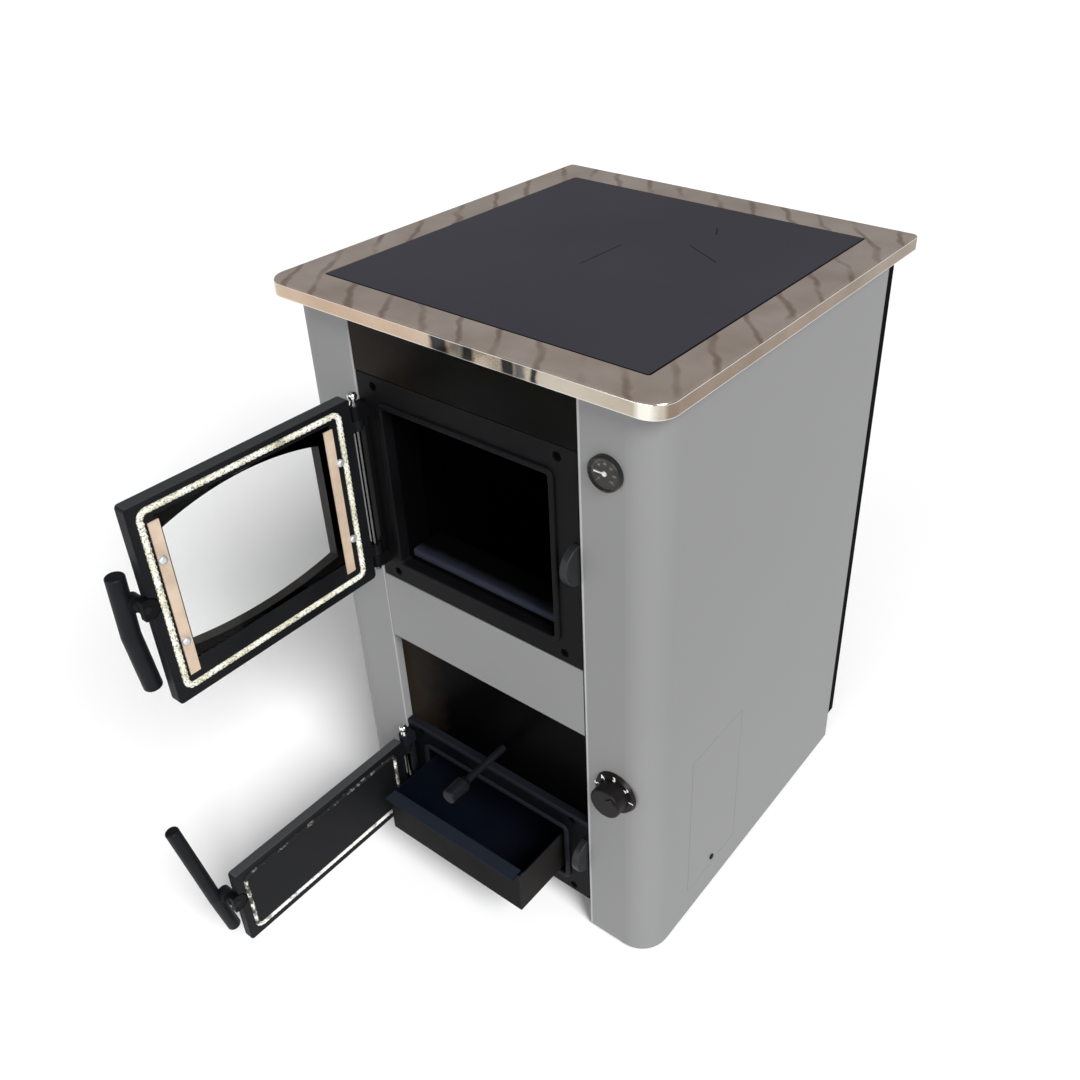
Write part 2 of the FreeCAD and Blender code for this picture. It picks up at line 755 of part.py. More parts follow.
def make_boiler():
    """The welded water jacket round the firebox and the ash pit."""
    outer = block(-boiler_half, boiler_half, boiler_inner_y, boiler_back_y, shell_bottom, shell_top)
    inset = boiler_half - shell_wall
    outer = outer.cut(block(-inset, inset, boiler_inner_y, boiler_back_y - shell_wall, shell_bottom,
                            shell_top))
    inner_out = firebox_half + shell_wall
    inner = block(-inner_out, inner_out, boiler_inner_y, firebox_back_y + shell_wall, shell_bottom,
                  shell_top)
    inner = inner.cut(block(-firebox_half, firebox_half, boiler_inner_y, firebox_back_y, shell_bottom,
                            shell_top))

    sleeve_radius = flue_spigot_radius + flue_step
    sleeve_start = V(0, firebox_back_y, flue_z)
    sleeve_end = V(0, back_y + flue_wall, flue_z)
    spigot_end = sleeve_end + Y_AXIS * flue_spigot_length
    way = rod(sleeve_radius + weld_gap, sleeve_start - Y_AXIS, sleeve_end)
    inner = inner.cut(way)
    outer = outer.cut(way)
    collar = joined(rod(sleeve_radius, sleeve_start, sleeve_end),
                    rod(flue_spigot_radius, sleeve_start, spigot_end))
    collar = collar.cut(rod(flue_spigot_radius - flue_wall, sleeve_start, spigot_end))
    keep("flue_collar", collar)

    sockets = []
    for level in (overall_height - flow_drop, return_level):
        start = V(boiler_half - socket_inset, boiler_back_y, level)
        end = start + Y_AXIS * socket_length
        bore = rod(socket_bore_radius, start - Y_AXIS * 2 * shell_wall, end)
        outer = outer.cut(bore)
        sockets.append(rod(socket_radius, start, end).cut(bore))
    keep("water_sockets", Part.makeCompound(sockets))
    keep("boiler_outer_shell", outer)
    keep("boiler_inner_shell", inner)

    floor = block(-boiler_half, boiler_half, boiler_inner_y, boiler_back_y, boiler_floor_level,
                  shell_bottom)
    air_x0, air_x1 = flap_centre_x - flap_length / 2, flap_centre_x + flap_length / 2
    air_y0 = flap_axis_y + flap_overlap
    air_hole = block(air_x0 + flap_overlap, air_x1 - flap_overlap, air_y0 + flap_overlap,
                     flap_axis_y + flap_depth - flap_overlap, boiler_floor_level - 1, shell_bottom + 1)
    keep("boiler_floor_plate", floor.cut(air_hole))

    ring = block(-boiler_half, boiler_half, boiler_front_y, boiler_back_y, shell_top, hob_bottom)
    keep("boiler_top_ring", ring.cut(block(-firebox_half, firebox_half, boiler_inner_y, firebox_back_y,
                                           shell_top - 1, hob_bottom + 1)))

    front = block(-boiler_half, boiler_half, boiler_front_y, boiler_inner_y, boiler_floor_level, shell_top)
    mount_half = opening_half + mount_overlap
    mount = block(-mount_half, mount_half, mount_face_y, mount_back_y, ash_frame_bottom,
                  panel_top - 2 * seam)
    for name, aperture in (("fire_throat", fire_aperture), ("ash_throat", ash_aperture)):
        wall = throat_wall
        tube = upright_plate(-aperture_half - wall, aperture_half + wall, aperture[0] - wall,
                             aperture[1] + wall,
                             mount_face_y, boiler_inner_y, opening_radius + wall)
        way = upright_plate(-aperture_half, aperture_half, aperture[0], aperture[1], mount_face_y - 1,
                            boiler_inner_y + 1, opening_radius)
        seat = wall + weld_gap
        cut_out = upright_plate(-aperture_half - seat, aperture_half + seat, aperture[0] - seat,
                                aperture[1] + seat,
                                mount_face_y - 1, boiler_inner_y + 1, opening_radius + seat)
        front = front.cut(cut_out)
        mount = mount.cut(cut_out)
        keep(name, tube.cut(way))
    mount = mount.cut(shaker_bore(rod_radius + rod_fit))
    front = front.cut(shaker_bore(rod_radius + rod_hole_clearance))
    for at in make_frame_screws():
        mount = mount.cut(rod(screw_shank_radius + screw_clearance, at,
                              at + Y_AXIS * (frame_thickness + 2 * mount_plate)))
    for level in (gauge_z, stat_level):
        at = V(water_x, boiler_front_y - 1, level)
        front = front.cut(rod(probe_radius + probe_gap, at, at + Y_AXIS * 3 * boiler_plate))
    keep("boiler_front_plate", front)
    keep("front_mounting_plate", mount)


def make_base():
    """Welded base rails, the plinth ring they stand on and the insulation slabs beside the boiler."""
    top, low = boiler_floor_level, boiler_floor_level - rail_height
    rail_in = boiler_half - rail_width
    shells = [block(rail_in, boiler_half, boiler_inner_y, boiler_back_y, low, top),
              block(-boiler_half, -rail_in, boiler_inner_y, boiler_back_y, low, top)]
    inner_x = body_half - panel_sheet
    for y in (cover_front_y + cover_width + cross_rail_cover_gap, panel_back_y - rear_cross_rail_setback):
        shells.append(block(-inner_x, inner_x, y, y + cross_rail_width, low, top))
    base = joined(*shells)
    way = rod(flap_shaft_radius + rod_hole_clearance, V(0, flap_axis_y, flap_axis_z),
              V(body_half, flap_axis_y, flap_axis_z))
    keep("base_frame", base.cut(way))

    ring = block(-boiler_half, boiler_half, boiler_inner_y, boiler_back_y, 0, low)
    inset = boiler_half - plinth_width
    keep("plinth_ring", ring.cut(block(-inset, inset, boiler_inner_y + plinth_width,
                                       boiler_back_y - plinth_width,
                                       -1, low + 1)))

    outer_x = inner_x - insulation_skin_gap - panel_sheet
    slab = block(boiler_half, outer_x, boiler_inner_y + insulation_end_gap,
                 boiler_back_y - insulation_end_gap,
                 insulation_bottom, shell_top)
    keep("left_insulation", mirrored(slab))
    reach = cover_tab_reach + 2 * seam
    hatch = block(boiler_half - 1, outer_x + 1, cover_front_y - reach, cover_front_y + cover_width + reach,
                  insulation_bottom - 1, cover_bottom + cover_height + reach)
    keep("right_insulation", slab.cut(hatch))


def slot_row(x0, x1, y0, y1, z0, z1):
    """Parallel slots across a grate, evenly spaced."""
    count = int((y1 - y0 - grate_slot_width) // grate_slot_pitch) + 1
    start = (y0 + y1 - (count - 1) * grate_slot_pitch) / 2
    slots = []
    for index in range(count):
        y = start + index * grate_slot_pitch
        slots.append(block(x0, x1, y - grate_slot_width / 2, y + grate_slot_width / 2, z0 - 1, z1 + 1))
    return slots


def make_grate():
    """Grate on its bearers, its shaking middle, the rod with its knob, and the fuel guard."""
    y0, y1 = boiler_inner_y + grate_end_gap, firebox_back_y - grate_end_gap
    bearer = block(firebox_half - bearer_width, firebox_half, y0, y1, bearer_level, grate_bottom)
    keep("grate_bearers", Part.makeCompound([bearer, mirrored(bearer)]))

    half = firebox_half - grate_end_gap
    window_end_y = window_front_y + window_length
    plate = block(-half, half, y0, y1, grate_bottom, grate_top)
    plate = plate.cut(block(-window_half_width, window_half_width, window_front_y, window_end_y,
                            grate_bottom - 1, grate_top + 1))
    inner, outer = window_half_width - window_rail_reach, window_half_width + window_rail_reach
    rail = block(inner, outer, window_front_y - grate_rim, window_end_y + grate_rim,
                 grate_bottom - window_rail_height, grate_bottom)
    plate = joined(plate, rail, mirrored(rail))
    for slot in slot_row(outer + grate_end_gap, half - bearer_width, y0 + grate_rim, y1 - grate_rim,
                         grate_bottom, grate_top):
        plate = plate.cut(slot).cut(mirrored(slot))
    keep("fixed_grate", plate)

    moving_half = window_half_width - shaker_width_gap
    shaker_end_y = shaker_front_y + shaker_length
    bottom = grate_bottom + slide_gap
    moving = block(-moving_half, moving_half, shaker_front_y, shaker_end_y, bottom, grate_top)
    for slot in slot_row(-inner + grate_rim, inner - grate_rim, shaker_front_y + shaker_lug_size,
                         shaker_end_y,
                         bottom, grate_top):
        moving = moving.cut(slot)
    lug_half = shaker_lug_size / 2
    lug = block(rod_x - lug_half, rod_x + lug_half, shaker_front_y, shaker_front_y + shaker_lug_size,
                rod_level - lug_half, bottom)
    rod_end = V(rod_x, shaker_front_y + shaker_lug_size, rod_level)
    knob_y = mount_face_y - front_sheet - rod_out
    keep("moving_grate", joined(moving, lug).cut(rod(rod_radius, V(rod_x, knob_y, rod_level), rod_end)))
    keep("shaker_rod", rod(rod_radius, V(rod_x, knob_y - knob_length / 2, rod_level), rod_end))

    knob_end = V(rod_x, knob_y - knob_length, rod_level)
    collar = V(rod_x, knob_y - knob_neck_length, rod_level)
    grip_length = knob_length - knob_neck_length
    knob = Part.makeCone(knob_front_radius, knob_collar_radius, grip_length, knob_end, Y_AXIS)
    knob = knob.makeFillet(knob_front_round, edges_on_plane(knob, 1, knob_end.y))
    neck = Part.makeCone(knob_collar_radius, knob_neck_radius, knob_neck_length, collar, Y_AXIS)
    knob = joined(knob, neck)
    keep("shaker_knob", knob.cut(rod(rod_radius, V(rod_x, knob_y - knob_length / 2, rod_level), rod_end)))

    half = aperture_half - fuel_guard_side_gap
    guard_y = mount_face_y + fuel_guard_setback
    low, high = fire_aperture[0], fire_aperture[0] + fuel_guard_height
    corners = (opening_radius, opening_radius, 1.0, 1.0)
    wire = rounded_wire(-half, half, low, high, corners, lambda u, v: V(u, guard_y, v))
    guard = Part.Face(wire).extrude(V(0, fuel_guard_depth, 0))
    long_edges = [e for e in edges_on_plane(guard, 1, guard_y) if e.BoundBox.XLength > half]
    nose = [e for e in long_edges if e.BoundBox.ZMax > high - 0.1]
    keep("fuel_guard", guard.makeFillet(fuel_guard_nose, nose))


def door_blank(bottom, top, thickness, lugs):
    """A cast door with round edges, a rope groove and two hinge knuckles."""
    outer_y = door_inner_y - thickness
    plate = upright_plate(door_left, door_right, bottom, top, outer_y, door_inner_y, door_corner_radius)
    plate = plate.makeFillet(door_edge_radius, edges_on_plane(plate, 1, outer_y))
    knuckles = []
    for z0 in (lugs[0] + hinge_lug_height + hinge_knuckle_gap,
               lugs[1] - hinge_lug_height - hinge_knuckle_gap - hinge_knuckle_height):
        eye = Part.makeCylinder(hinge_eye_radius, hinge_knuckle_height, V(hinge_x, hinge_y, z0))
        web = block(hinge_x, door_left + door_corner_radius, hinge_y - hinge_eye_radius * 0.8,
                    door_inner_y - 1,
                    z0, z0 + hinge_knuckle_height)
        knuckles += [eye, web]
    return joined(plate, *knuckles)


def gasket_ring(aperture, width, y0, y1):
    """A rope seal that runs opposite the frame's bead."""
    middle = bead_width / 2
    out, into = middle + width / 2, middle - width / 2
    ring = upright_plate(-aperture_half - out, aperture_half + out, aperture[0] - out, aperture[1] + out,
                         y0, y1, opening_radius + out)
    return ring.cut(upright_plate(-aperture_half - into, aperture_half + into, aperture[0] - into,
                                  aperture[1] + into, y0 - 1, y1 + 1, opening_radius + into))


def make_gasket(name, aperture, width):
    """The rope seal in its groove, rounded where it meets the frame."""
    face_y = door_inner_y + gasket_proud
    ring = gasket_ring(aperture, width, door_inner_y - gasket_groove_depth, face_y)
    keep(name, swung_open(ring.makeFillet(min(gasket_proud, width / 2) * 0.9,
                                          edges_on_plane(ring, 1, face_y))))


def groove(aperture, width):
    """The groove that a rope seal lies in."""
    return gasket_ring(aperture, width + 2 * gasket_groove_gap, door_inner_y - gasket_groove_depth,
                       door_inner_y + 1)


def with_latch_lug(door, latch_z, outer_y):
    """Adds the eye on the free edge that carries the handle's shaft."""
    back_y = cam_front_y - cam_lug_gap
    eye = rod(latch_lug_radius, V(latch_x, outer_y, latch_z), V(latch_x, back_y, latch_z))
    web = block(door_right - 1, latch_x, outer_y, back_y, latch_z - latch_lug_radius,
                latch_z + latch_lug_radius)
    door = joined(door, eye, web)
    room = rod(cam_radius + keeper_pocket_gap, V(latch_x, back_y, latch_z),
               V(latch_x, door_inner_y + 1, latch_z))
    shaft = rod(latch_shaft_radius + latch_shaft_fit, V(latch_x, outer_y - 1, latch_z),
                V(latch_x, back_y + 1, latch_z))
    return door.cut(room).cut(shaft)


def bowed_window(y0, y1):
    """The window of the fire door: straight sides, bowed top and bottom."""
    x0, x1 = door_left + window_hinge_margin, door_right - window_free_margin
    z0, z1 = fire_door_bottom + window_bottom_margin, fire_door_top - window_top_margin
    middle = (x0 + x1) / 2
    top = Part.Arc(V(x0, y0, z1), V(middle, y0, z1 + window_rise), V(x1, y0, z1)).toShape()
    low = Part.Arc(V(x1, y0, z0), V(middle, y0, z0 - window_dip), V(x0, y0, z0)).toShape()
    wire = Part.Wire([top, Part.makeLine(V(x1, y0, z1), V(x1, y0, z0)), low,
                      Part.makeLine(V(x0, y0, z0), V(x0, y0, z1))])
    return Part.Face(wire).extrude(V(0, y1 - y0, 0))


def make_fire_door():
    """The glazed fire door with its pane, clamps, clamp screws and rope seal."""
    outer_y = door_inner_y - fire_door_thickness
    door = door_blank(fire_door_bottom, fire_door_top, fire_door_thickness, fire_lugs)
    door = door.cut(bowed_window(outer_y - 1, door_inner_y + 1)).cut(groove(fire_aperture,
                                                                            fire_gasket_width))
    x0 = door_left + window_hinge_margin - glass_overlap_hinge
    x1 = door_right - window_free_margin + glass_overlap_free
    z0 = fire_door_bottom + window_bottom_margin - window_dip - glass_overlap_high
    z1 = fire_door_top - window_top_margin + window_rise + glass_overlap_high
    back = door_inner_y - glass_thickness
    seat = block(x0 - glass_gap, x1 + glass_gap, back, door_inner_y + 1, z0 - glass_gap, z1 + glass_gap)
    door = door.cut(seat)
    keep("fire_door_glass", swung_open(block(x0, x1, back, door_inner_y, z0, z1)))

    middle_z = (fire_aperture[0] + fire_aperture[1]) / 2
    seal_edge = aperture_half + (bead_width - fire_gasket_width) / 2 - gasket_groove_gap
    clamp_length = fire_aperture[1] - fire_aperture[0] - 2 * clamp_end_gap
    clamps, screws = [], []
    for side in (-1, 1):
        beside = side < 0
        outer_x = side * (seal_edge - clamp_gasket_gap + 1.0 - (hinge_clamp_shift if beside else 0.0))
        inner_x = outer_x - side * clamp_width
        strip = block(min(inner_x, outer_x), max(inner_x, outer_x), door_inner_y,
                      door_inner_y + clamp_thickness,
                      middle_z - clamp_length / 2, middle_z + clamp_length / 2)
        for step in (-0.5, 0.5):
            screw_inset = -hinge_screw_outset if beside else free_screw_inset
            at = V(outer_x - side * screw_inset, door_inner_y + clamp_thickness,
                   middle_z + step * clamp_screw_spacing)
            shank = rod(screw_shank_radius, at - Y_AXIS * clamp_screw_depth, at)
            head = rod(clamp_screw_radius, at, at + Y_AXIS * clamp_screw_head)
            head = head.makeFillet(clamp_screw_round, edges_on_plane(head, 1, at.y + clamp_screw_head))
            screws.append(swung_open(joined(head, shank)))
            hole = rod(screw_shank_radius, at - Y_AXIS * clamp_screw_depth, at)
            strip = strip.cut(hole)
            door = door.cut(hole)
        clamps.append(swung_open(strip))
    keep("glass_clamps", Part.makeCompound(clamps))
    keep("clamp_screws", Part.makeCompound(screws))
    door = with_latch_lug(door, fire_latch_z, outer_y)
    keep("fire_door", swung_open(door.cut(pin_way(fire_door_bottom, fire_door_top))))
    make_gasket("fire_door_gasket", fire_aperture, fire_gasket_width)


def pin_way(bottom, top):
    """The running bore of the hinge pin through a door's knuckles."""
    return Part.makeCylinder(hinge_pin_radius + hinge_pin_fit, top - bottom, V(hinge_x, hinge_y, bottom))


def make_ash_door():
    """The solid ash door with a raised outer panel and its rope seal."""
    outer_y = door_inner_y - ash_door_thickness
    door = door_blank(ash_door_bottom, ash_door_top, ash_door_thickness, ash_lugs)
    rib = upright_plate(door_left + panel_rib_width, door_right - panel_rib_width,
                        ash_door_bottom + panel_rib_width / 2,
                        ash_door_top - panel_rib_width / 2, outer_y - panel_rib_height, outer_y + 1,
                        door_corner_radius)
    door = joined(door, rib).cut(groove(ash_aperture, ash_gasket_width))
    door = with_latch_lug(door, ash_latch_z, outer_y)
    keep("ash_door", swung_open(door.cut(pin_way(ash_door_bottom, ash_door_top))))
    make_gasket("ash_door_gasket", ash_aperture, ash_gasket_width)


def bent_bar(points, radius):
    """A round bar through three points, its bend filled by a ball, its ends slightly rounded."""
    bars = []
    for start, end in ((points[1], points[0]), (points[1], points[2])):
        run = rod(radius, start, end)
        tip = [e for e in run.Edges if e.Closed and (e.CenterOfMass - end).Length < 1e-3]
        bars.append(run.makeFillet(2.5, tip))
    return joined(bars[0], bars[1], Part.makeSphere(radius, points[1]))


def make_handle(name, cam_name, latch_z, points, radius, outer_y):
    """A bakelite bar handle on its shaft, and the flatted cam that the shaft turns."""
    front = V(latch_x, handle_y, latch_z)
    boss_end = min(outer_y - handle_boss_gap, frame_face_y - keeper_reach - keeper_boss_gap)
    boss = rod(handle_boss_radius, front, V(latch_x, boss_end, latch_z))
    shaft = rod(latch_shaft_radius, front, V(latch_x, door_inner_y, latch_z))
    keep(name, swung_open(joined(bent_bar(points, radius), boss, shaft)))

    cam = rod(cam_radius, V(latch_x, cam_front_y, latch_z), V(latch_x, door_inner_y, latch_z))
    flat = block(latch_x + cam_flat, latch_x + 2 * cam_radius, cam_front_y - 1, door_inner_y + 1,
                 latch_z - cam_radius, latch_z + cam_radius)
    keep(cam_name, swung_open(cam.cut(flat).cut(shaft)))


def make_handles():
    """Both door handles, each bent its own way."""
    at = V(latch_x, handle_y, fire_latch_z)
    points = (at + V(fire_handle_end_side, 0, -fire_handle_end_drop),
              at + V(fire_handle_bend_side, 0, -fire_handle_bend_drop),
              at + V(fire_handle_top_side, 0, fire_handle_top_rise))
    make_handle("fire_door_handle", "fire_latch_cam", fire_latch_z, points, fire_handle_radius,
                door_inner_y - fire_door_thickness)
    at = V(latch_x, handle_y, ash_latch_z)
    points = (at + V(ash_handle_end_side, 0, -ash_handle_end_drop),
              at + V(ash_handle_bend_side, 0, 0),
              at + V(ash_handle_top_side, -ash_handle_top_lean, ash_handle_top_rise))
    make_handle("ash_door_handle", "ash_latch_cam", ash_latch_z, points, ash_handle_radius,
                door_inner_y - ash_door_thickness)


def make_drawer():
    """The folded ash drawer with its finger lip, and the runners it slides on."""
    y0 = drawer_front_y
    y1 = firebox_back_y - drawer_rear_gap - drawer_out
    z0, z1 = drawer_bottom, drawer_bottom + drawer_height
    sheet = drawer_sheet
    tray = block(drawer_left, drawer_right, y0, y1, z0, z1)
    tray = tray.cut(block(drawer_left + sheet, drawer_right - sheet, y0 + sheet, y1 - sheet, z0 + sheet,
                          z1 + 1))
    lip_y = y0 - drawer_lip_forward
    lip = block(drawer_left, drawer_right - drawer_lip_end_gap, lip_y, lip_y + drawer_lip_depth,
                z1 - drawer_lip_height, z1)
    keep("ash_drawer", joined(tray, lip))
    runners = []
    for x in (drawer_left + runner_inset, drawer_right - runner_inset - runner_width):
        runners.append(block(x, x + runner_width, boiler_inner_y, firebox_back_y, shell_bottom,
                             z0 - slide_gap))
    keep("drawer_runners", Part.makeCompound(runners))


def make_gauge():
    """The water thermometer in the right column: case with probe, dial, needle and glass."""
    at = V(gauge_x, front_y, gauge_z)
    face = at - Y_AXIS * gauge_bezel_height
    case_end = at + Y_AXIS * gauge_case_depth
    bezel = rod(gauge_bezel_radius, face, at)
    bezel = bezel.makeFillet(2.0, edges_on_plane(bezel, 1, face.y))
    floor = face + Y_AXIS * gauge_face_depth
    well = rod(gauge_face_radius + gauge_rim_gap, face, floor)
    dial_top = floor - Y_AXIS * gauge_dial_thickness
    base = dial_top - Y_AXIS * needle_dial_gap
    under_cap = base - Y_AXIS * (needle_thickness - needle_cap)
    pin = rod(needle_pin_radius, floor, under_cap + Y_AXIS * needle_cap_gap)
    probe_start = V(water_x, case_end.y, gauge_z)
    probe = rod(probe_radius, probe_start, V(water_x, boiler_front_y + probe_depth, gauge_z))
    keep("thermometer_case", joined(joined(bezel, rod(gauge_case_radius, at, case_end)).cut(well), pin,
                                    probe))

    pin_hole = rod(needle_pin_radius + needle_pin_fit, under_cap, case_end)
    keep("thermometer_dial", rod(gauge_face_radius, dial_top, floor).cut(pin_hole))
    glass_top = face + Y_AXIS * gauge_glass_setback
    keep("thermometer_glass", rod(gauge_face_radius, glass_top, glass_top + Y_AXIS * gauge_glass_thickness))

    hub = rod(needle_hub_radius, base - Y_AXIS * needle_thickness, base)
    arm = block(gauge_x - needle_length, gauge_x + needle_tail, base.y - needle_thickness, base.y,
                gauge_z - needle_width / 2, gauge_z + needle_width / 2)
    keep("thermometer_needle", joined(hub, arm).cut(pin_hole))


def make_thermostat():
    """The draught thermostat: body with probe, numbered knob, pull link and air flap."""
    half = stat_body_size / 2
    inside_y = front_y + panel_sheet
    flat_end = body_half - column_radius
    body = block(flat_end - stat_body_size, flat_end, inside_y, inside_y + stat_body_depth,
                 stat_level - half,
                 stat_level + half)
    probe = rod(probe_radius, V(water_x, inside_y + stat_body_depth, stat_level),
                V(water_x, boiler_front_y + probe_depth, stat_level))
    shaft_end = V(stat_x, inside_y + stat_shaft_depth, stat_level)
    knob_back_y = front_y - knob_panel_gap
    shaft_start = V(stat_x, knob_back_y, stat_level)
    bore = rod(stat_shaft_radius + stat_shaft_fit, V(stat_x, front_y, stat_level), shaft_end)
    link_top = V(link_x, link_y, stat_level - half + link_insert)
    link_bore = rod(link_radius + link_fit, V(link_x, link_y, stat_level - half - 1), link_top)
    keep("thermostat_body", joined(body, probe).cut(bore).cut(link_bore))

    skirt = Part.makeCone(knob_skirt_radius, knob_skirt_radius - 2.0, knob_skirt_height, shaft_start,
                          -Y_AXIS)
    crown_y = knob_back_y - knob_skirt_height
    crown_front = V(stat_x, crown_y - knob_body_height, stat_level)
    crown = Part.makeCone(knob_body_radius - knob_taper, knob_body_radius, knob_body_height, crown_front,
                          Y_AXIS)
    crown = crown.makeFillet(knob_edge_radius, edges_on_plane(crown, 1, crown_front.y))
    pointer_end = knob_body_radius - knob_taper - knob_edge_radius
    pointer = block(stat_x + pointer_end - pointer_length, stat_x + pointer_end,
                    crown_front.y - pointer_height,
                    crown_front.y + pointer_height, stat_level - pointer_width / 2,
                    stat_level + pointer_width / 2)
    pointer.rotate(crown_front, Y_AXIS, -pointer_angle)
    keep("thermostat_knob", joined(skirt, crown, pointer,
                                   rod(stat_shaft_radius, shaft_start, shaft_end - Y_AXIS)))

    x0, x1 = flap_centre_x - flap_length / 2, flap_centre_x + flap_length / 2
    axis = V(0, flap_axis_y, flap_axis_z)
    lugs = []
    for x in (x0 - flap_lug_thickness - seam, x1 + seam):
        eye = rod(flap_lug_radius - 1.5, axis + X_AXIS * x, axis + X_AXIS * (x + flap_lug_thickness))
        hanger = block(x, x + flap_lug_thickness, flap_axis_y - flap_lug_radius + 1.5,
                       flap_axis_y + flap_lug_radius - 1.5,
                       flap_axis_z, boiler_floor_level)
        way = rod(flap_shaft_radius + flap_shaft_fit, axis + X_AXIS * (x - 1),
                  axis + X_AXIS * (x + flap_lug_thickness + 1))
        lugs.append(joined(eye, hanger).cut(way))
    keep("air_flap_lugs", Part.makeCompound(lugs))

    arm_end_x = link_x + flap_arm_thickness + link_eye_wall
    shaft = rod(flap_shaft_radius, axis + X_AXIS * (x0 - flap_lug_thickness - 2), axis + X_AXIS * arm_end_x)
    plate = block(x0, x1, flap_axis_y, flap_axis_y + flap_depth, flap_axis_z - flap_thickness / 2,
                  flap_axis_z + flap_thickness / 2)
    plate.rotate(axis, X_AXIS, -flap_rest_angle)
    arm = block(arm_end_x - flap_arm_thickness, arm_end_x, link_y - flap_arm_gap / 2, flap_axis_y,
                flap_axis_z - flap_arm_gap / 2, flap_axis_z + flap_arm_gap / 2)
    pin_at = V(arm_end_x, link_y, flap_axis_z)
    pin = rod(link_radius, pin_at - X_AXIS * link_pin_length, pin_at)
    keep("air_flap", joined(shaft, plate, arm, pin))

    eye_z0, eye_z1 = flap_axis_z - link_eye_height / 2, flap_axis_z + link_eye_height / 2
    eye = block(link_x - link_radius, link_x + link_radius, link_y - link_eye_length / 2,
                link_y + link_eye_length / 2,
                eye_z0, eye_z1)
    slot = block(link_x - 2 * link_radius, link_x + 2 * link_radius,
                 link_y - link_eye_length / 2 + link_eye_wall,
                 link_y + link_eye_length / 2 - link_eye_wall, eye_z0 + link_eye_wall,
                 eye_z1 - link_eye_wall)
    stem_top = link_top - Z_AXIS * link_insert / 2
    stem = rod(link_radius, V(link_x, link_y, eye_z1 - link_eye_wall / 2), stem_top)
    keep("flap_pull_link", joined(eye.cut(slot), stem))


make_worktop()
make_casing()
make_front_panels()
make_boiler()
make_base()
make_grate()
make_door_frame("fire_door_frame", fire_frame_bottom, fire_frame_top, fire_aperture, fire_lugs,
                fire_screw_level)
make_door_frame("ash_door_frame", ash_frame_bottom, ash_frame_top, ash_aperture, ash_lugs, ash_screw_level)
make_hinge_pin("fire_hinge_pin", fire_lugs)
make_hinge_pin("ash_hinge_pin", ash_lugs)
make_keeper("fire_door_keeper", fire_latch_z)
make_keeper("ash_door_keeper", ash_latch_z)
make_fire_door()
make_ash_door()
make_handles()
make_drawer()
make_gauge()
make_thermostat()

os.makedirs("parts", exist_ok=True)
for node, shape in made.items():
    shape.exportStep("parts/" + node + ".step")
print(len(made), "pieces written")
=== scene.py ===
"""Central heating cooker: finishes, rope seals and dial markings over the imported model."""
import math

import bmesh
import bpy
from mathutils import Matrix, Vector


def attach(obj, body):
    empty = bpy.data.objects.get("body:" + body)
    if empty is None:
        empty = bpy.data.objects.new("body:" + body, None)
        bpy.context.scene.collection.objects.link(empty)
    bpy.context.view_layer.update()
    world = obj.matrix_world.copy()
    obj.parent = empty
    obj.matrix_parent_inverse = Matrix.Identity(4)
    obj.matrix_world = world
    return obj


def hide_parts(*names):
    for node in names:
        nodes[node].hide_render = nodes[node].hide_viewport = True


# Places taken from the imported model, in metres.
HINGE_X, HINGE_Y = -0.1585, -0.285
SEAL_HALF = 0.129
SEAL_CORNER = 0.0085
SEAL_MIDDLE_Y = -0.2788
FRAME_FACE_Y = -0.2705
FIRE_SEAL = (0.493, 0.722)
ASH_SEAL = (0.073, 0.171)
GAUGE_CENTRE = (0.2033, 0.7485)
KNOB_CENTRE = (0.212, 0.295)
RIM_TOP = 0.850
RIM_BOTTOM = 0.832
RIM_SIDE = 0.280

# Rope seals: faces round the rope, length of a ring, strands, and the core's share of the half width.
ROPE_SIDES = 24
ROPE_STEP = 0.0011
ROPE_STRANDS = 6
ROPE_CORE = 0.68

# Painted reflection patches along the front of the rim: middle, half width and softness in metres, and grey.
RIM_REFLECTION_PATCHES = ((0.004, 0.012, 0.003, 0.040), (0.031, 0.005, 0.004, 0.300), (0.044, 0.007, 0.003, 0.035),
               (0.098, 0.008, 0.002, 0.045), (0.114, 0.006, 0.003, 0.180), (0.133, 0.004, 0.002, 0.040))

# Painted highlights along the columns' inner edges: place across the front, half width in metres and grey.
COLUMN_EDGE_HIGHLIGHTS = ((-0.1656, 0.0006, 0.265), (0.1680, 0.0012, 0.330))

# Hairline scratches on the hob: middle, direction in degrees and half length.
HOB_SCRATCHES = ((-0.0065, 0.0006, 88.5, 0.041), (0.094, 0.0717, -29.0, 0.033), (0.065, 0.151, -62.0, 0.014))

# Thermometer scale: face, first tick and sweep in degrees, counts, ticks (width, length), reach and numbers.
DIAL_Y = -0.27545
SCALE_START, SCALE_SWEEP = 135, 270
SCALE_TICKS, TICKS_A_NUMBER = 24, 4
LONG_TICK, SHORT_TICK = (0.0005, 0.0026), (0.0003, 0.0016)
TICK_REACH = 0.0160
DEGREES_A_NUMBER = 20
SCALE_NUMBER_SIZE, SCALE_NUMBER_REACH = 0.0034, 0.0110

# Draught knob: its skirt's face and the numbers on it, anticlockwise from the right in degrees.
KNOB_SKIRT_Y = -0.27815
KNOB_NUMBER_TURNS = (0.0, 42.0, 88.0, 131.0, 171.0)
KNOB_NUMBER_SIZE, KNOB_NUMBER_REACH = 0.0098, 0.0252

# Print: how far it stands up, and how much bolder than the plain letter a number is.
NUMBER_RISE, STROKE_RISE = 0.00006, 0.0002
NUMBER_BOLDNESS = 0.020

# Where a noise has most of its values, and how far a plain finish's roughness strays.
NOISE_LOW, NOISE_HIGH = 0.3, 0.7
GLOSS_SPREAD = 0.06

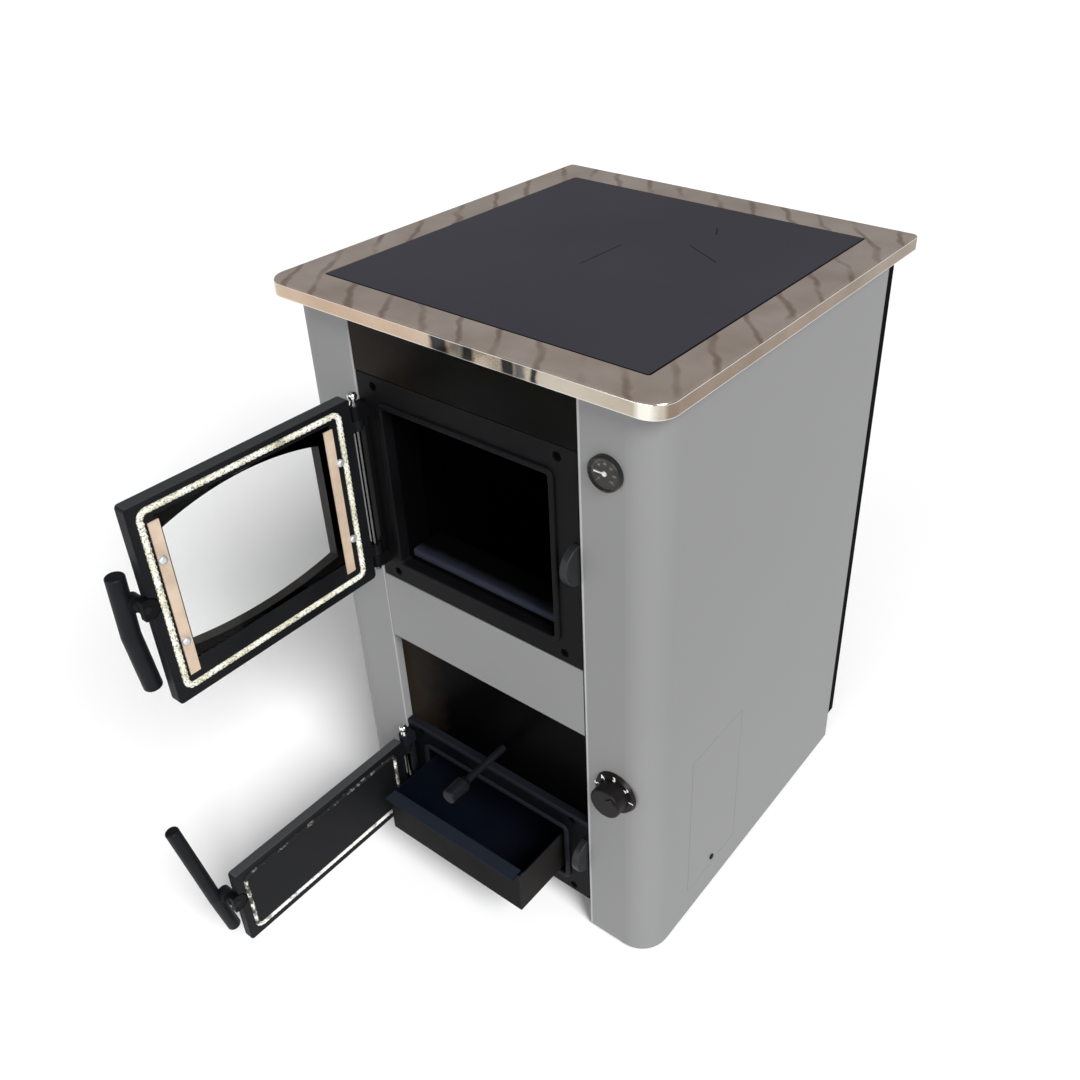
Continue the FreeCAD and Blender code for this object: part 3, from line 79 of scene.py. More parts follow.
# Broad lamps: name, strength, spread in degrees and the way their light travels.
LAMPS = (("broad_lamp", 3.9, 28.0, (-0.88, 0.34, -0.78)), ("front_lamp", 2.6, 60.0, (0.02, 1.0, -0.10)))
BACKDROP_STRENGTH = 0.24

# Floor: width and drop below the base.
FLOOR_WIDTH, FLOOR_DROP = 80.0, 0.0005

# Camera: turn round the cooker, tilt and roll in degrees, place, lens and shift.
VIEW_TURN, VIEW_TILT, VIEW_ROLL = 36.42, 32.72, -0.38
CAMERA_PLACE = (0.755535, -1.006258, 1.307185)
CAMERA_LENS, CAMERA_SENSOR = 35.877, 36.0
CAMERA_SHIFT = (-0.07019, -0.03844)

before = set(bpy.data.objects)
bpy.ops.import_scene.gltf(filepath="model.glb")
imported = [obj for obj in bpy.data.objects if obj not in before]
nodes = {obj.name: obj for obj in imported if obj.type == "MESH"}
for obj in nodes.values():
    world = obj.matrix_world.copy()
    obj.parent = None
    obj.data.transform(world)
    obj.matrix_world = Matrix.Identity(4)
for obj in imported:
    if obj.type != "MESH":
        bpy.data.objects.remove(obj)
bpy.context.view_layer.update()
bpy.ops.object.select_all(action="DESELECT")


def extent(name):
    """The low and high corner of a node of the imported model."""
    corners = [Vector(corner) for corner in nodes[name].bound_box]
    low = [min(corner[axis] for corner in corners) for axis in range(3)]
    high = [max(corner[axis] for corner in corners) for axis in range(3)]
    return low, high


# Shared surface effects

def new_group(name, inputs, outputs):
    """An empty shader node group with its named sockets."""
    group = bpy.data.node_groups.new(name, "ShaderNodeTree")
    for label, value in inputs:
        socket = group.interface.new_socket(label, in_out="INPUT", socket_type="NodeSocketFloat")
        socket.default_value = value
    for label in outputs:
        group.interface.new_socket(label, in_out="OUTPUT", socket_type="NodeSocketFloat")
    return group, group.nodes.new("NodeGroupInput"), group.nodes.new("NodeGroupOutput")


def grain_group():
    """Broad mottle of a finish and the fine relief of its skin."""
    group, source, out = new_group("finish_grain", [("Mottle Scale", 8.0), ("Relief Scale", 300.0)],
                                   ["Mottle", "Relief"])
    place = group.nodes.new("ShaderNodeTexCoord")
    for label in ("Mottle", "Relief"):
        noise = group.nodes.new("ShaderNodeTexNoise")
        noise.inputs["Detail"].default_value = 4.0
        group.links.new(place.outputs["Object"], noise.inputs["Vector"])
        group.links.new(source.outputs[label + " Scale"], noise.inputs["Scale"])
        group.links.new(noise.outputs["Fac"], out.inputs[label])
    return group


def drawn_lines_group():
    """Fine parallel lines left by rolling or grinding, along one axis."""
    group, source, out = new_group("drawn_lines", [("Scale X", 10.0), ("Scale Y", 10.0), ("Scale Z", 10.0)],
                                   ["Lines"])
    place = group.nodes.new("ShaderNodeTexCoord")
    spread = group.nodes.new("ShaderNodeCombineXYZ")
    stretch = group.nodes.new("ShaderNodeVectorMath")
    stretch.operation = "MULTIPLY"
    noise = group.nodes.new("ShaderNodeTexNoise")
    noise.inputs["Scale"].default_value = 1.0
    noise.inputs["Detail"].default_value = 3.0
    for axis in "XYZ":
        group.links.new(source.outputs["Scale " + axis], spread.inputs[axis])
    group.links.new(place.outputs["Object"], stretch.inputs[0])
    group.links.new(spread.outputs["Vector"], stretch.inputs[1])
    group.links.new(stretch.outputs["Vector"], noise.inputs["Vector"])
    group.links.new(noise.outputs["Fac"], out.inputs["Lines"])
    return group


def streaks_group():
    """Thin wandering streaks of painted reflection that cross the rim in one slant, uneven in strength."""
    group, source, out = new_group("painted_reflection_streaks", [("Scale", 7.5), ("Wander", 2.5)], ["Streaks"])
    place = group.nodes.new("ShaderNodeTexCoord")
    slant = group.nodes.new("ShaderNodeMapping")
    slant.inputs["Rotation"].default_value = (0, 0, math.radians(-VIEW_TURN))
    wave = group.nodes.new("ShaderNodeTexWave")
    wave.inputs["Detail"].default_value = 2.0
    wave.inputs["Detail Scale"].default_value = 2.2
    patches = group.nodes.new("ShaderNodeTexNoise")
    patches.inputs["Scale"].default_value = 16.0
    strength = group.nodes.new("ShaderNodeMapRange")
    strength.inputs["From Min"].default_value = 0.30
    strength.inputs["From Max"].default_value = 0.60
    crest = group.nodes.new("ShaderNodeMapRange")
    crest.inputs["From Min"].default_value = 0.88
    crest.inputs["From Max"].default_value = 1.02
    both = group.nodes.new("ShaderNodeMath")
    both.operation = "MULTIPLY"
    group.links.new(place.outputs["Object"], slant.inputs["Vector"])
    group.links.new(slant.outputs["Vector"], wave.inputs["Vector"])
    group.links.new(source.outputs["Scale"], wave.inputs["Scale"])
    group.links.new(source.outputs["Wander"], wave.inputs["Distortion"])
    group.links.new(wave.outputs["Fac"], crest.inputs["Value"])
    group.links.new(place.outputs["Object"], patches.inputs["Vector"])
    group.links.new(patches.outputs["Fac"], strength.inputs["Value"])
    group.links.new(crest.outputs["Result"], both.inputs[0])
    group.links.new(strength.outputs["Result"], both.inputs[1])
    group.links.new(both.outputs["Value"], out.inputs["Streaks"])
    return group


def scratch_group():
    """One straight hairline scratch on a flat plate, from its middle, direction and half length."""
    inputs = [("Middle X", 0.0), ("Middle Y", 0.0), ("Turn", 0.0), ("Half Length", 0.04),
              ("Half Width", 0.0006)]
    group, source, out = new_group("hairline_scratch", inputs, ["Scratch"])
    place = group.nodes.new("ShaderNodeTexCoord")
    middle = group.nodes.new("ShaderNodeCombineXYZ")
    away = group.nodes.new("ShaderNodeVectorMath")
    away.operation = "SUBTRACT"
    turn = group.nodes.new("ShaderNodeVectorRotate")
    turn.rotation_type = "Z_AXIS"
    parts = group.nodes.new("ShaderNodeSeparateXYZ")
    group.links.new(source.outputs["Middle X"], middle.inputs["X"])
    group.links.new(source.outputs["Middle Y"], middle.inputs["Y"])
    group.links.new(place.outputs["Object"], away.inputs[0])
    group.links.new(middle.outputs["Vector"], away.inputs[1])
    group.links.new(away.outputs["Vector"], turn.inputs["Vector"])
    group.links.new(source.outputs["Turn"], turn.inputs["Angle"])
    group.links.new(turn.outputs["Vector"], parts.inputs["Vector"])
    inside = []
    for axis, limit in (("X", "Half Length"), ("Y", "Half Width")):
        size = group.nodes.new("ShaderNodeMath")
        size.operation = "ABSOLUTE"
        within = group.nodes.new("ShaderNodeMath")
        within.operation = "LESS_THAN"
        group.links.new(parts.outputs[axis], size.inputs[0])
        group.links.new(size.outputs["Value"], within.inputs[0])
        group.links.new(source.outputs[limit], within.inputs[1])
        inside.append(within)
    both = group.nodes.new("ShaderNodeMath")
    both.operation = "MULTIPLY"
    group.links.new(inside[0].outputs["Value"], both.inputs[0])
    group.links.new(inside[1].outputs["Value"], both.inputs[1])
    group.links.new(both.outputs["Value"], out.inputs["Scratch"])
    return group


def yarn_group():
    """The knobs of a braided yarn and the gaps between them."""
    group, source, out = new_group("yarn_knobs", [("Scale", 240.0)], ["Gap", "Height"])
    place = group.nodes.new("ShaderNodeTexCoord")
    cells = group.nodes.new("ShaderNodeTexVoronoi")
    cells.inputs["Randomness"].default_value = 0.7
    gap = group.nodes.new("ShaderNodeMapRange")
    gap.inputs["From Min"].default_value = 0.50
    gap.inputs["From Max"].default_value = 0.85
    height = group.nodes.new("ShaderNodeMath")
    height.operation = "SUBTRACT"
    height.inputs[0].default_value = 1.0
    group.links.new(place.outputs["Object"], cells.inputs["Vector"])
    group.links.new(source.outputs["Scale"], cells.inputs["Scale"])
    group.links.new(cells.outputs["Distance"], gap.inputs["Value"])
    group.links.new(cells.outputs["Distance"], height.inputs[1])
    group.links.new(gap.outputs["Result"], out.inputs["Gap"])
    group.links.new(height.outputs["Value"], out.inputs["Height"])
    return group


GRAIN = grain_group()
DRAWN_LINES = drawn_lines_group()
REFLECTION_STREAKS = streaks_group()
SCRATCH = scratch_group()
YARN = yarn_group()


# Finishes

def new_finish(name, roughness, metallic=0.0, specular=0.5):
    """A material with its main shader, ready for its colour and relief."""
    finish = bpy.data.materials.new(name)
    finish.use_nodes = True
    shader = finish.node_tree.nodes["Principled BSDF"]
    shader.inputs["Roughness"].default_value = roughness
    shader.inputs["Metallic"].default_value = metallic
    shader.inputs["Specular IOR Level"].default_value = specular
    return finish, finish.node_tree, shader


def place_group(tree, group, **values):
    """One use of a shared effect, with its own values."""
    node = tree.nodes.new("ShaderNodeGroup")
    node.node_tree = group
    for label, value in values.items():
        node.inputs[label.replace("_", " ")].default_value = value
    return node


def blend_colours(tree, factor, dark, light):
    """A colour that runs from dark to light with a factor; either end may be a linked colour."""
    mix = tree.nodes.new("ShaderNodeMix")
    mix.data_type = "RGBA"
    tree.links.new(factor, mix.inputs[0])
    for socket, colour in ((mix.inputs[6], dark), (mix.inputs[7], light)):
        if isinstance(colour, tuple):
            socket.default_value = (*colour, 1.0)
        else:
            tree.links.new(colour, socket)
    return mix.outputs[2]


def spread_range(tree, value, low, high, to_low, to_high):
    """A value carried from one range to another."""
    spread = tree.nodes.new("ShaderNodeMapRange")
    tree.links.new(value, spread.inputs["Value"])
    for label, number in (("From Min", low), ("From Max", high), ("To Min", to_low), ("To Max", to_high)):
        spread.inputs[label].default_value = number
    return spread.outputs["Result"]


def even_tone(tree, value):
    """A noise stretched to run from 0 to 1."""
    return spread_range(tree, value, NOISE_LOW, NOISE_HIGH, 0.0, 1.0)


def uneven_gloss(tree, shader, value, low, high):
    """Roughness that follows a noise between two limits."""
    gloss = spread_range(tree, value, NOISE_LOW, NOISE_HIGH, low, high)
    tree.links.new(gloss, shader.inputs["Roughness"])


def add_relief(tree, shader, height, strength, distance):
    """Fine relief in the surface from a height."""
    bump = tree.nodes.new("ShaderNodeBump")
    bump.inputs["Strength"].default_value = strength
    bump.inputs["Distance"].default_value = distance
    tree.links.new(height, bump.inputs["Height"])
    tree.links.new(bump.outputs["Normal"], shader.inputs["Normal"])


def plain_finish(name, dark, light, roughness, mottle=9.0, relief=400.0, strength=0.08, distance=0.0005,
                 specular=0.5):
    """A painted, cast or moulded finish with mottled colour, uneven gloss and a fine skin."""
    finish, tree, shader = new_finish(name, roughness, 0.0, specular)
    grain = place_group(tree, GRAIN, Mottle_Scale=mottle, Relief_Scale=relief)
    tone = even_tone(tree, grain.outputs["Mottle"])
    tree.links.new(blend_colours(tree, tone, dark, light), shader.inputs["Base Color"])
    uneven_gloss(tree, shader, grain.outputs["Mottle"], roughness - GLOSS_SPREAD, roughness + GLOSS_SPREAD)
    add_relief(tree, shader, grain.outputs["Relief"], strength, distance)
    return finish


def along_axis(tree, axis, low, high, wander=0.0):
    """How far a place lies along one axis of its piece, from 0 to 1, with an edge that may wander."""
    place = tree.nodes.new("ShaderNodeTexCoord")
    parts = tree.nodes.new("ShaderNodeSeparateXYZ")
    tree.links.new(place.outputs["Object"], parts.inputs["Vector"])
    value = parts.outputs[axis]
    if wander:
        noise = tree.nodes.new("ShaderNodeTexNoise")
        noise.inputs["Scale"].default_value = 70.0
        sway = tree.nodes.new("ShaderNodeMath")
        sway.operation = "MULTIPLY_ADD"
        sway.inputs[1].default_value = wander
        tree.links.new(place.outputs["Object"], noise.inputs["Vector"])
        tree.links.new(noise.outputs["Fac"], sway.inputs[0])
        tree.links.new(value, sway.inputs[2])
        value = sway.outputs["Value"]
    return spread_range(tree, value, low, high, 0.0, 1.0)


def product(tree, first, second):
    """Two values multiplied."""
    both = tree.nodes.new("ShaderNodeMath")
    both.operation = "MULTIPLY"
    tree.links.new(first, both.inputs[0])
    tree.links.new(second, both.inputs[1])
    return both.outputs["Value"]


def band(tree, axis, middle, half, soft, wander=0.0):
    """A soft-edged band across one axis."""
    return product(tree, along_axis(tree, axis, middle - half - soft, middle - half + soft, wander),
                   along_axis(tree, axis, middle + half + soft, middle + half - soft, wander))


def grey_paint():
    """Satin grey powder coat, with painted highlights along the columns' inner edges."""
    finish, tree, shader = new_finish("satin_grey_paint", 0.46, 0.0, 0.15)
    grain = place_group(tree, GRAIN, Mottle_Scale=3.0, Relief_Scale=900.0)
    tone = even_tone(tree, grain.outputs["Mottle"])
    colour = blend_colours(tree, tone, (0.174, 0.175, 0.177), (0.188, 0.189, 0.191))
    # Painted highlight bands along the columns' inner edges.
    for edge, half, shade in COLUMN_EDGE_HIGHLIGHTS:
        pale = band(tree, "X", edge, half, 0.0005)
        colour = blend_colours(tree, pale, colour, (shade, shade, shade))
    tree.links.new(colour, shader.inputs["Base Color"])
    uneven_gloss(tree, shader, grain.outputs["Mottle"], 0.40, 0.52)
    add_relief(tree, shader, grain.outputs["Relief"], 0.05, 0.0003)
    return finish


def black_enamel(name, brown_reflection_end, deep, specular):
    """Glossy black enamel on a front sheet, with a painted brown reflection towards the hinges."""
    finish, tree, shader = new_finish(name, 0.34, 0.0, specular)
    grain = place_group(tree, GRAIN, Mottle_Scale=5.0, Relief_Scale=120.0)
    tone = even_tone(tree, grain.outputs["Mottle"])
    brown = blend_colours(tree, tone, (0.0105, 0.0074, 0.0052), (0.0185, 0.0124, 0.0082))
    black = blend_colours(tree, tone, (0.0003, 0.0003, 0.0003), (deep, deep * 0.8, deep * 0.7))
    # Painted brown reflection on the hinge side, fading to black across the sheet.
    across = along_axis(tree, "X", -0.150, brown_reflection_end, 0.04)
    tree.links.new(blend_colours(tree, across, brown, black), shader.inputs["Base Color"])
    uneven_gloss(tree, shader, grain.outputs["Mottle"], 0.30, 0.38)
    add_relief(tree, shader, grain.outputs["Relief"], 0.02, 0.0006)
    return finish


def polished_rim():
    """Polished stainless rim in painted reflections: a grey-brown top with slant streaks, a peach skirt and a
    bright fold.
    """
    finish, tree, shader = new_finish("polished_rim", 0.16, 0.92)
    slow = place_group(tree, GRAIN, Mottle_Scale=14.0, Relief_Scale=22.0)
    lines = place_group(tree, DRAWN_LINES, Scale_X=60.0, Scale_Y=60.0, Scale_Z=8.0)
    streaks = place_group(tree, REFLECTION_STREAKS, Scale=7.2, Wander=2.6)
    tone = even_tone(tree, slow.outputs["Mottle"])
    # Painted reflection on the top: a warm grey-brown.
    top = blend_colours(tree, tone, (0.760, 0.620, 0.530), (0.960, 0.820, 0.720))
    # Darker streaks of painted reflection across the top.
    top = blend_colours(tree, streaks.outputs["Streaks"], top, (0.440, 0.310, 0.240))
    # Painted reflection on the skirt: peach paling to cream towards the right, with dark and grey patches.
    peach = blend_colours(tree, tone, (0.500, 0.355, 0.255), (0.560, 0.435, 0.330))
    cream = blend_colours(tree, tone, (0.440, 0.385, 0.310), (0.560, 0.500, 0.420))
    peach = blend_colours(tree, along_axis(tree, "X", -0.060, 0.160, 0.05), peach, cream)
    for middle, half, soft, shade in RIM_REFLECTION_PATCHES:
        peach = blend_colours(tree, band(tree, "X", middle, half, soft, 0.008), peach, (shade, shade, shade))
    # Painted brown reflection on the right end, and a painted highlight just short of the right corner.
    brown = blend_colours(tree, tone, (0.215, 0.160, 0.115), (0.290, 0.225, 0.170))
    side = along_axis(tree, "X", RIM_SIDE - 0.006, RIM_SIDE - 0.003)
    bright = band(tree, "X", RIM_SIDE - 0.018, 0.009, 0.004, 0.006)
    skirt = blend_colours(tree, side, blend_colours(tree, bright, peach, (0.86, 0.82, 0.74)), brown)
    upper = along_axis(tree, "Z", RIM_TOP - 0.0022, RIM_TOP - 0.0010)
    colour = blend_colours(tree, upper, skirt, top)
    # Painted highlights along the top and bottom folds.
    for level in (RIM_TOP - 0.0020, RIM_BOTTOM + 0.0008):
        fold = band(tree, "Z", level, 0.0003, 0.0003, 0.0006)
        colour = blend_colours(tree, fold, colour, (0.80, 0.78, 0.75))
    tree.links.new(colour, shader.inputs["Base Color"])
    uneven_gloss(tree, shader, lines.outputs["Lines"], 0.12, 0.20)
    add_relief(tree, shader, slow.outputs["Relief"], 0.06, 0.002)
    return finish


def hob_surface():
    """Smooth slate hob plate with a soft haze, a few hairline scratches and painted shade along two edges."""
    finish, tree, shader = new_finish("slate_hob_plate", 0.50, 0.0, 0.25)
    grain = place_group(tree, GRAIN, Mottle_Scale=2.5, Relief_Scale=700.0)
    tone = even_tone(tree, grain.outputs["Mottle"])
    slate = blend_colours(tree, tone, (0.0235, 0.0235, 0.0320), (0.0345, 0.0345, 0.0440))
    for x, y, turn, half_length in HOB_SCRATCHES:
        mark = place_group(tree, SCRATCH, Middle_X=x, Middle_Y=y, Turn=-math.radians(turn),
                           Half_Length=half_length, Half_Width=0.0009)
        slate = blend_colours(tree, mark.outputs["Scratch"], slate, (0.0015, 0.0015, 0.0018))
    low, high = extent("hob_plate")
    # Painted shade along the plate's right and front edges, where it meets the rim.
    edges = (("X", high[0] - 0.0008, high[0] - 0.0016), ("Y", low[1] + 0.0006, low[1] + 0.0012))
    for axis, outer, inner in edges:
        slate = blend_colours(tree, along_axis(tree, axis, inner, outer), slate, (0.0008, 0.0008, 0.0009))
    tree.links.new(slate, shader.inputs["Base Color"])
    uneven_gloss(tree, shader, grain.outputs["Mottle"], 0.46, 0.54)
    add_relief(tree, shader, grain.outputs["Relief"], 0.04, 0.0003)
    return finish


def rope_yarn(name, scale, freshness, patches, levels=None):
    """Off-white glass yarn with painted shade in the gaps between its knobs.

    The fresher it is, the less of it has blackened. With levels, the upper run is sooted and the lower clean.
    """
    finish, tree, shader = new_finish(name, 0.85, 0.0, 0.2)
    grain = place_group(tree, GRAIN, Mottle_Scale=patches, Relief_Scale=900.0)
    knobs = place_group(tree, YARN, Scale=scale)
    stain = spread_range(tree, grain.outputs["Mottle"], 0.35, 0.65, 0.0, 1.0)
    yarn = blend_colours(tree, stain, (0.60, 0.58, 0.45), (0.90, 0.89, 0.81))
    # Painted shade in the gaps between the yarn's knobs.
    yarn = blend_colours(tree, knobs.outputs["Gap"], yarn, (0.150, 0.145, 0.110))
    worn = spread_range(tree, grain.outputs["Mottle"], 0.62 - freshness, 0.44 - freshness, 0.0, 0.92)
    colour = blend_colours(tree, worn, yarn, (0.020, 0.020, 0.021))
    if levels:
        sooted = product(tree, along_axis(tree, "Z", levels[1] - 0.008, levels[1] - 0.005),
                         spread_range(tree, grain.outputs["Mottle"], 0.64, 0.54, 0.82, 1.0))
        colour = blend_colours(tree, sooted, colour, (0.0110, 0.0110, 0.0112))
        clean = product(tree, along_axis(tree, "Z", levels[0] + 0.008, levels[0] + 0.005),
                        spread_range(tree, grain.outputs["Mottle"], 0.34, 0.46, 0.35, 1.0))
        colour = blend_colours(tree, clean, colour, (0.78, 0.78, 0.74))
    tree.links.new(colour, shader.inputs["Base Color"])
    add_relief(tree, shader, knobs.outputs["Height"], 0.6, 0.0016)
    return finish


def slate_tray():
    """Slate paint on the ash drawer with painted light: a paler lip, a darker front and a browner right side.
    """
    low, high = extent("ash_drawer")
    finish, tree, shader = new_finish("slate_tray_paint", 0.55, 0.0, 0.06)
    grain = place_group(tree, GRAIN, Mottle_Scale=10.0, Relief_Scale=600.0)
    tone = even_tone(tree, grain.outputs["Mottle"])
    colour = blend_colours(tree, tone, (0.0016, 0.0028, 0.0062), (0.0028, 0.0044, 0.0086))
    # Painted highlight on the lip's upper face.
    lip = product(tree, along_axis(tree, "Z", high[2] - 0.0008, high[2] - 0.0004),
                  along_axis(tree, "Y", low[1] + 0.0195, low[1] + 0.0185))
    colour = blend_colours(tree, lip, colour, (0.0125, 0.0165, 0.0250))
    # Painted shade on the front below the lip.
    front = product(tree, along_axis(tree, "Z", high[2] - 0.0004, high[2] - 0.0008),
                    along_axis(tree, "Y", low[1] + 0.0089, low[1] + 0.0087))
    colour = blend_colours(tree, front, colour, (0.0022, 0.0022, 0.0024))
    # Painted brown reflection on the right side.
    side = along_axis(tree, "X", high[0] - 0.0004, high[0] - 0.0002)
    colour = blend_colours(tree, side, colour, (0.0112, 0.0103, 0.0100))
    tree.links.new(colour, shader.inputs["Base Color"])
    uneven_gloss(tree, shader, grain.outputs["Mottle"], 0.50, 0.60)
    add_relief(tree, shader, grain.outputs["Relief"], 0.08, 0.0004)
    return finish


def guard_iron():
    """Cast iron of the fuel guard: a bluish painted highlight at the nose, turning black towards the back."""
    low = extent("fuel_guard")[0]
    finish, tree, shader = new_finish("guard_iron_painted_highlight", 0.55, 0.0, 0.03)
    grain = place_group(tree, GRAIN, Mottle_Scale=20.0, Relief_Scale=500.0)
    tone = even_tone(tree, grain.outputs["Mottle"])
    # Painted highlight: bluish at the nose.
    nose = blend_colours(tree, tone, (0.0165, 0.0190, 0.0290), (0.0230, 0.0260, 0.0380))
    behind = along_axis(tree, "Y", low[1] + 0.005, low[1] + 0.022, 0.005)
    tree.links.new(blend_colours(tree, behind, nose, (0.0006, 0.0006, 0.0007)), shader.inputs["Base Color"])
    tree.links.new(spread_range(tree, behind, 0.0, 1.0, 0.50, 0.95), shader.inputs["Roughness"])
    add_relief(tree, shader, grain.outputs["Relief"], 0.15, 0.0006)
    return finish


def ash_frame_iron():
    """Blue-black cast iron on the ash frame, with painted highlights along its top edge and its bead."""
    high = extent("ash_door_frame")[1]
    finish, tree, shader = new_finish("ash_frame_iron", 0.50, 0.0, 0.06)
    grain = place_group(tree, GRAIN, Mottle_Scale=12.0, Relief_Scale=700.0)
    tone = even_tone(tree, grain.outputs["Mottle"])
    colour = blend_colours(tree, tone, (0.0012, 0.0013, 0.0022), (0.0024, 0.0025, 0.0036))
    # Painted highlights on the top edge and along the bead.
    edge = along_axis(tree, "Z", high[2] - 0.0080, high[2] - 0.0050, 0.001)
    colour = blend_colours(tree, edge, colour, (0.0088, 0.0096, 0.0135))
    bead = along_axis(tree, "Y", FRAME_FACE_Y - 0.0008, FRAME_FACE_Y - 0.0016)
    colour = blend_colours(tree, bead, colour, (0.0075, 0.0083, 0.0120))
    tree.links.new(colour, shader.inputs["Base Color"])
    uneven_gloss(tree, shader, grain.outputs["Mottle"], 0.46, 0.56)
    add_relief(tree, shader, grain.outputs["Relief"], 0.16, 0.0006)
    return finish


def door_iron(name, door, top_highlight, pane=None):
    """A door's cast iron, with a painted highlight on its top edge, and browned by heat where a pane lies on
    it.
    """
    finish, tree, shader = new_finish(name, 0.50, 0.0, 0.10)
    grain = place_group(tree, GRAIN, Mottle_Scale=12.0, Relief_Scale=700.0)
    tone = even_tone(tree, grain.outputs["Mottle"])
    colour = blend_colours(tree, tone, (0.0040, 0.0042, 0.0052), (0.0072, 0.0075, 0.0092))
    top = extent(door)[1][2]
    # Painted highlight on the door's top edge.
    colour = blend_colours(tree, along_axis(tree, "Z", top - 0.0016, top - 0.0004), colour, top_highlight)
    if pane:
        low, high = extent(pane)
        browned = along_axis(tree, "X", low[0] + 0.0010, low[0] + 0.0005)
        for axis, number in (("Y", 1), ("Z", 2)):
            half = (high[number] - low[number]) / 2
            browned = product(tree, browned, band(tree, axis, low[number] + half, half, 0.001))
        heated = blend_colours(tree, tone, (0.0150, 0.0136, 0.0128), (0.0300, 0.0270, 0.0250))
        colour = blend_colours(tree, browned, colour, heated)
    tree.links.new(colour, shader.inputs["Base Color"])
    uneven_gloss(tree, shader, grain.outputs["Mottle"], 0.46, 0.56)
    add_relief(tree, shader, grain.outputs["Relief"], 0.16, 0.0006)
    return finish


def back_sheet():
    """Matt dark paint on the back panel, blacker along its two side edges."""
    low, high = extent("back_panel")
    finish, tree, shader = new_finish("matt_back_sheet", 0.80, 0.0, 0.03)
    grain = place_group(tree, GRAIN, Mottle_Scale=6.0, Relief_Scale=300.0)
    tone = even_tone(tree, grain.outputs["Mottle"])
    colour = blend_colours(tree, tone, (0.0160, 0.0162, 0.0168), (0.0240, 0.0242, 0.0250))
    for inner, outer in ((high[0] - 0.0060, high[0] - 0.0020), (low[0] + 0.0060, low[0] + 0.0020)):
        colour = blend_colours(tree, along_axis(tree, "X", inner, outer), colour, (0.0010, 0.0010, 0.0011))
    tree.links.new(colour, shader.inputs["Base Color"])
    add_relief(tree, shader, grain.outputs["Relief"], 0.10, 0.0005)
    return finish


def hinge_pin(name, node):
    """Turned pin: a shaft darkened as a painted reflection of the black parts round it, and a bright ball
    head.
    """
    head = extent(node)[1][2] - 0.0175
    finish, tree, shader = new_finish(name, 0.14, 1.0)
    lines = place_group(tree, DRAWN_LINES, Scale_X=40.0, Scale_Y=40.0, Scale_Z=900.0)
    tone = even_tone(tree, lines.outputs["Lines"])
    # The shaft's dark tone is a painted reflection of the black frame and door round it.
    shaft = blend_colours(tree, tone, (0.10, 0.10, 0.10), (0.16, 0.16, 0.16))
    bright = blend_colours(tree, tone, (0.66, 0.65, 0.64), (0.82, 0.81, 0.80))
    upper = along_axis(tree, "Z", head - 0.0005, head + 0.0005)
    tree.links.new(blend_colours(tree, upper, shaft, bright), shader.inputs["Base Color"])
    uneven_gloss(tree, shader, lines.outputs["Lines"], 0.10, 0.18)
    return finish


def drawn_steel(name, dark, light, roughness, scale, metallic=1.0):
    """Bright metal with fine drawn lines."""
    finish, tree, shader = new_finish(name, roughness, metallic)
    lines = place_group(tree, DRAWN_LINES, Scale_X=scale[0], Scale_Y=scale[1], Scale_Z=scale[2])
    tone = even_tone(tree, lines.outputs["Lines"])
    tree.links.new(blend_colours(tree, tone, dark, light), shader.inputs["Base Color"])
    uneven_gloss(tree, shader, lines.outputs["Lines"], roughness * 0.7, roughness * 1.3)
    add_relief(tree, shader, lines.outputs["Lines"], 0.05, 0.0003)
    return finish


def clear_glass():
    """Clear heat-proof glass."""
    finish, tree, shader = new_finish("clear_glass", 0.02)
    shader.inputs["Transmission Weight"].default_value = 1.0
    shader.inputs["IOR"].default_value = 1.18
    grain = place_group(tree, GRAIN, Mottle_Scale=6.0, Relief_Scale=40.0)
    tone = even_tone(tree, grain.outputs["Mottle"])
    clear = blend_colours(tree, tone, (0.94, 0.95, 0.95), (0.98, 0.98, 0.98))
    tree.links.new(clear, shader.inputs["Base Color"])
    return finish


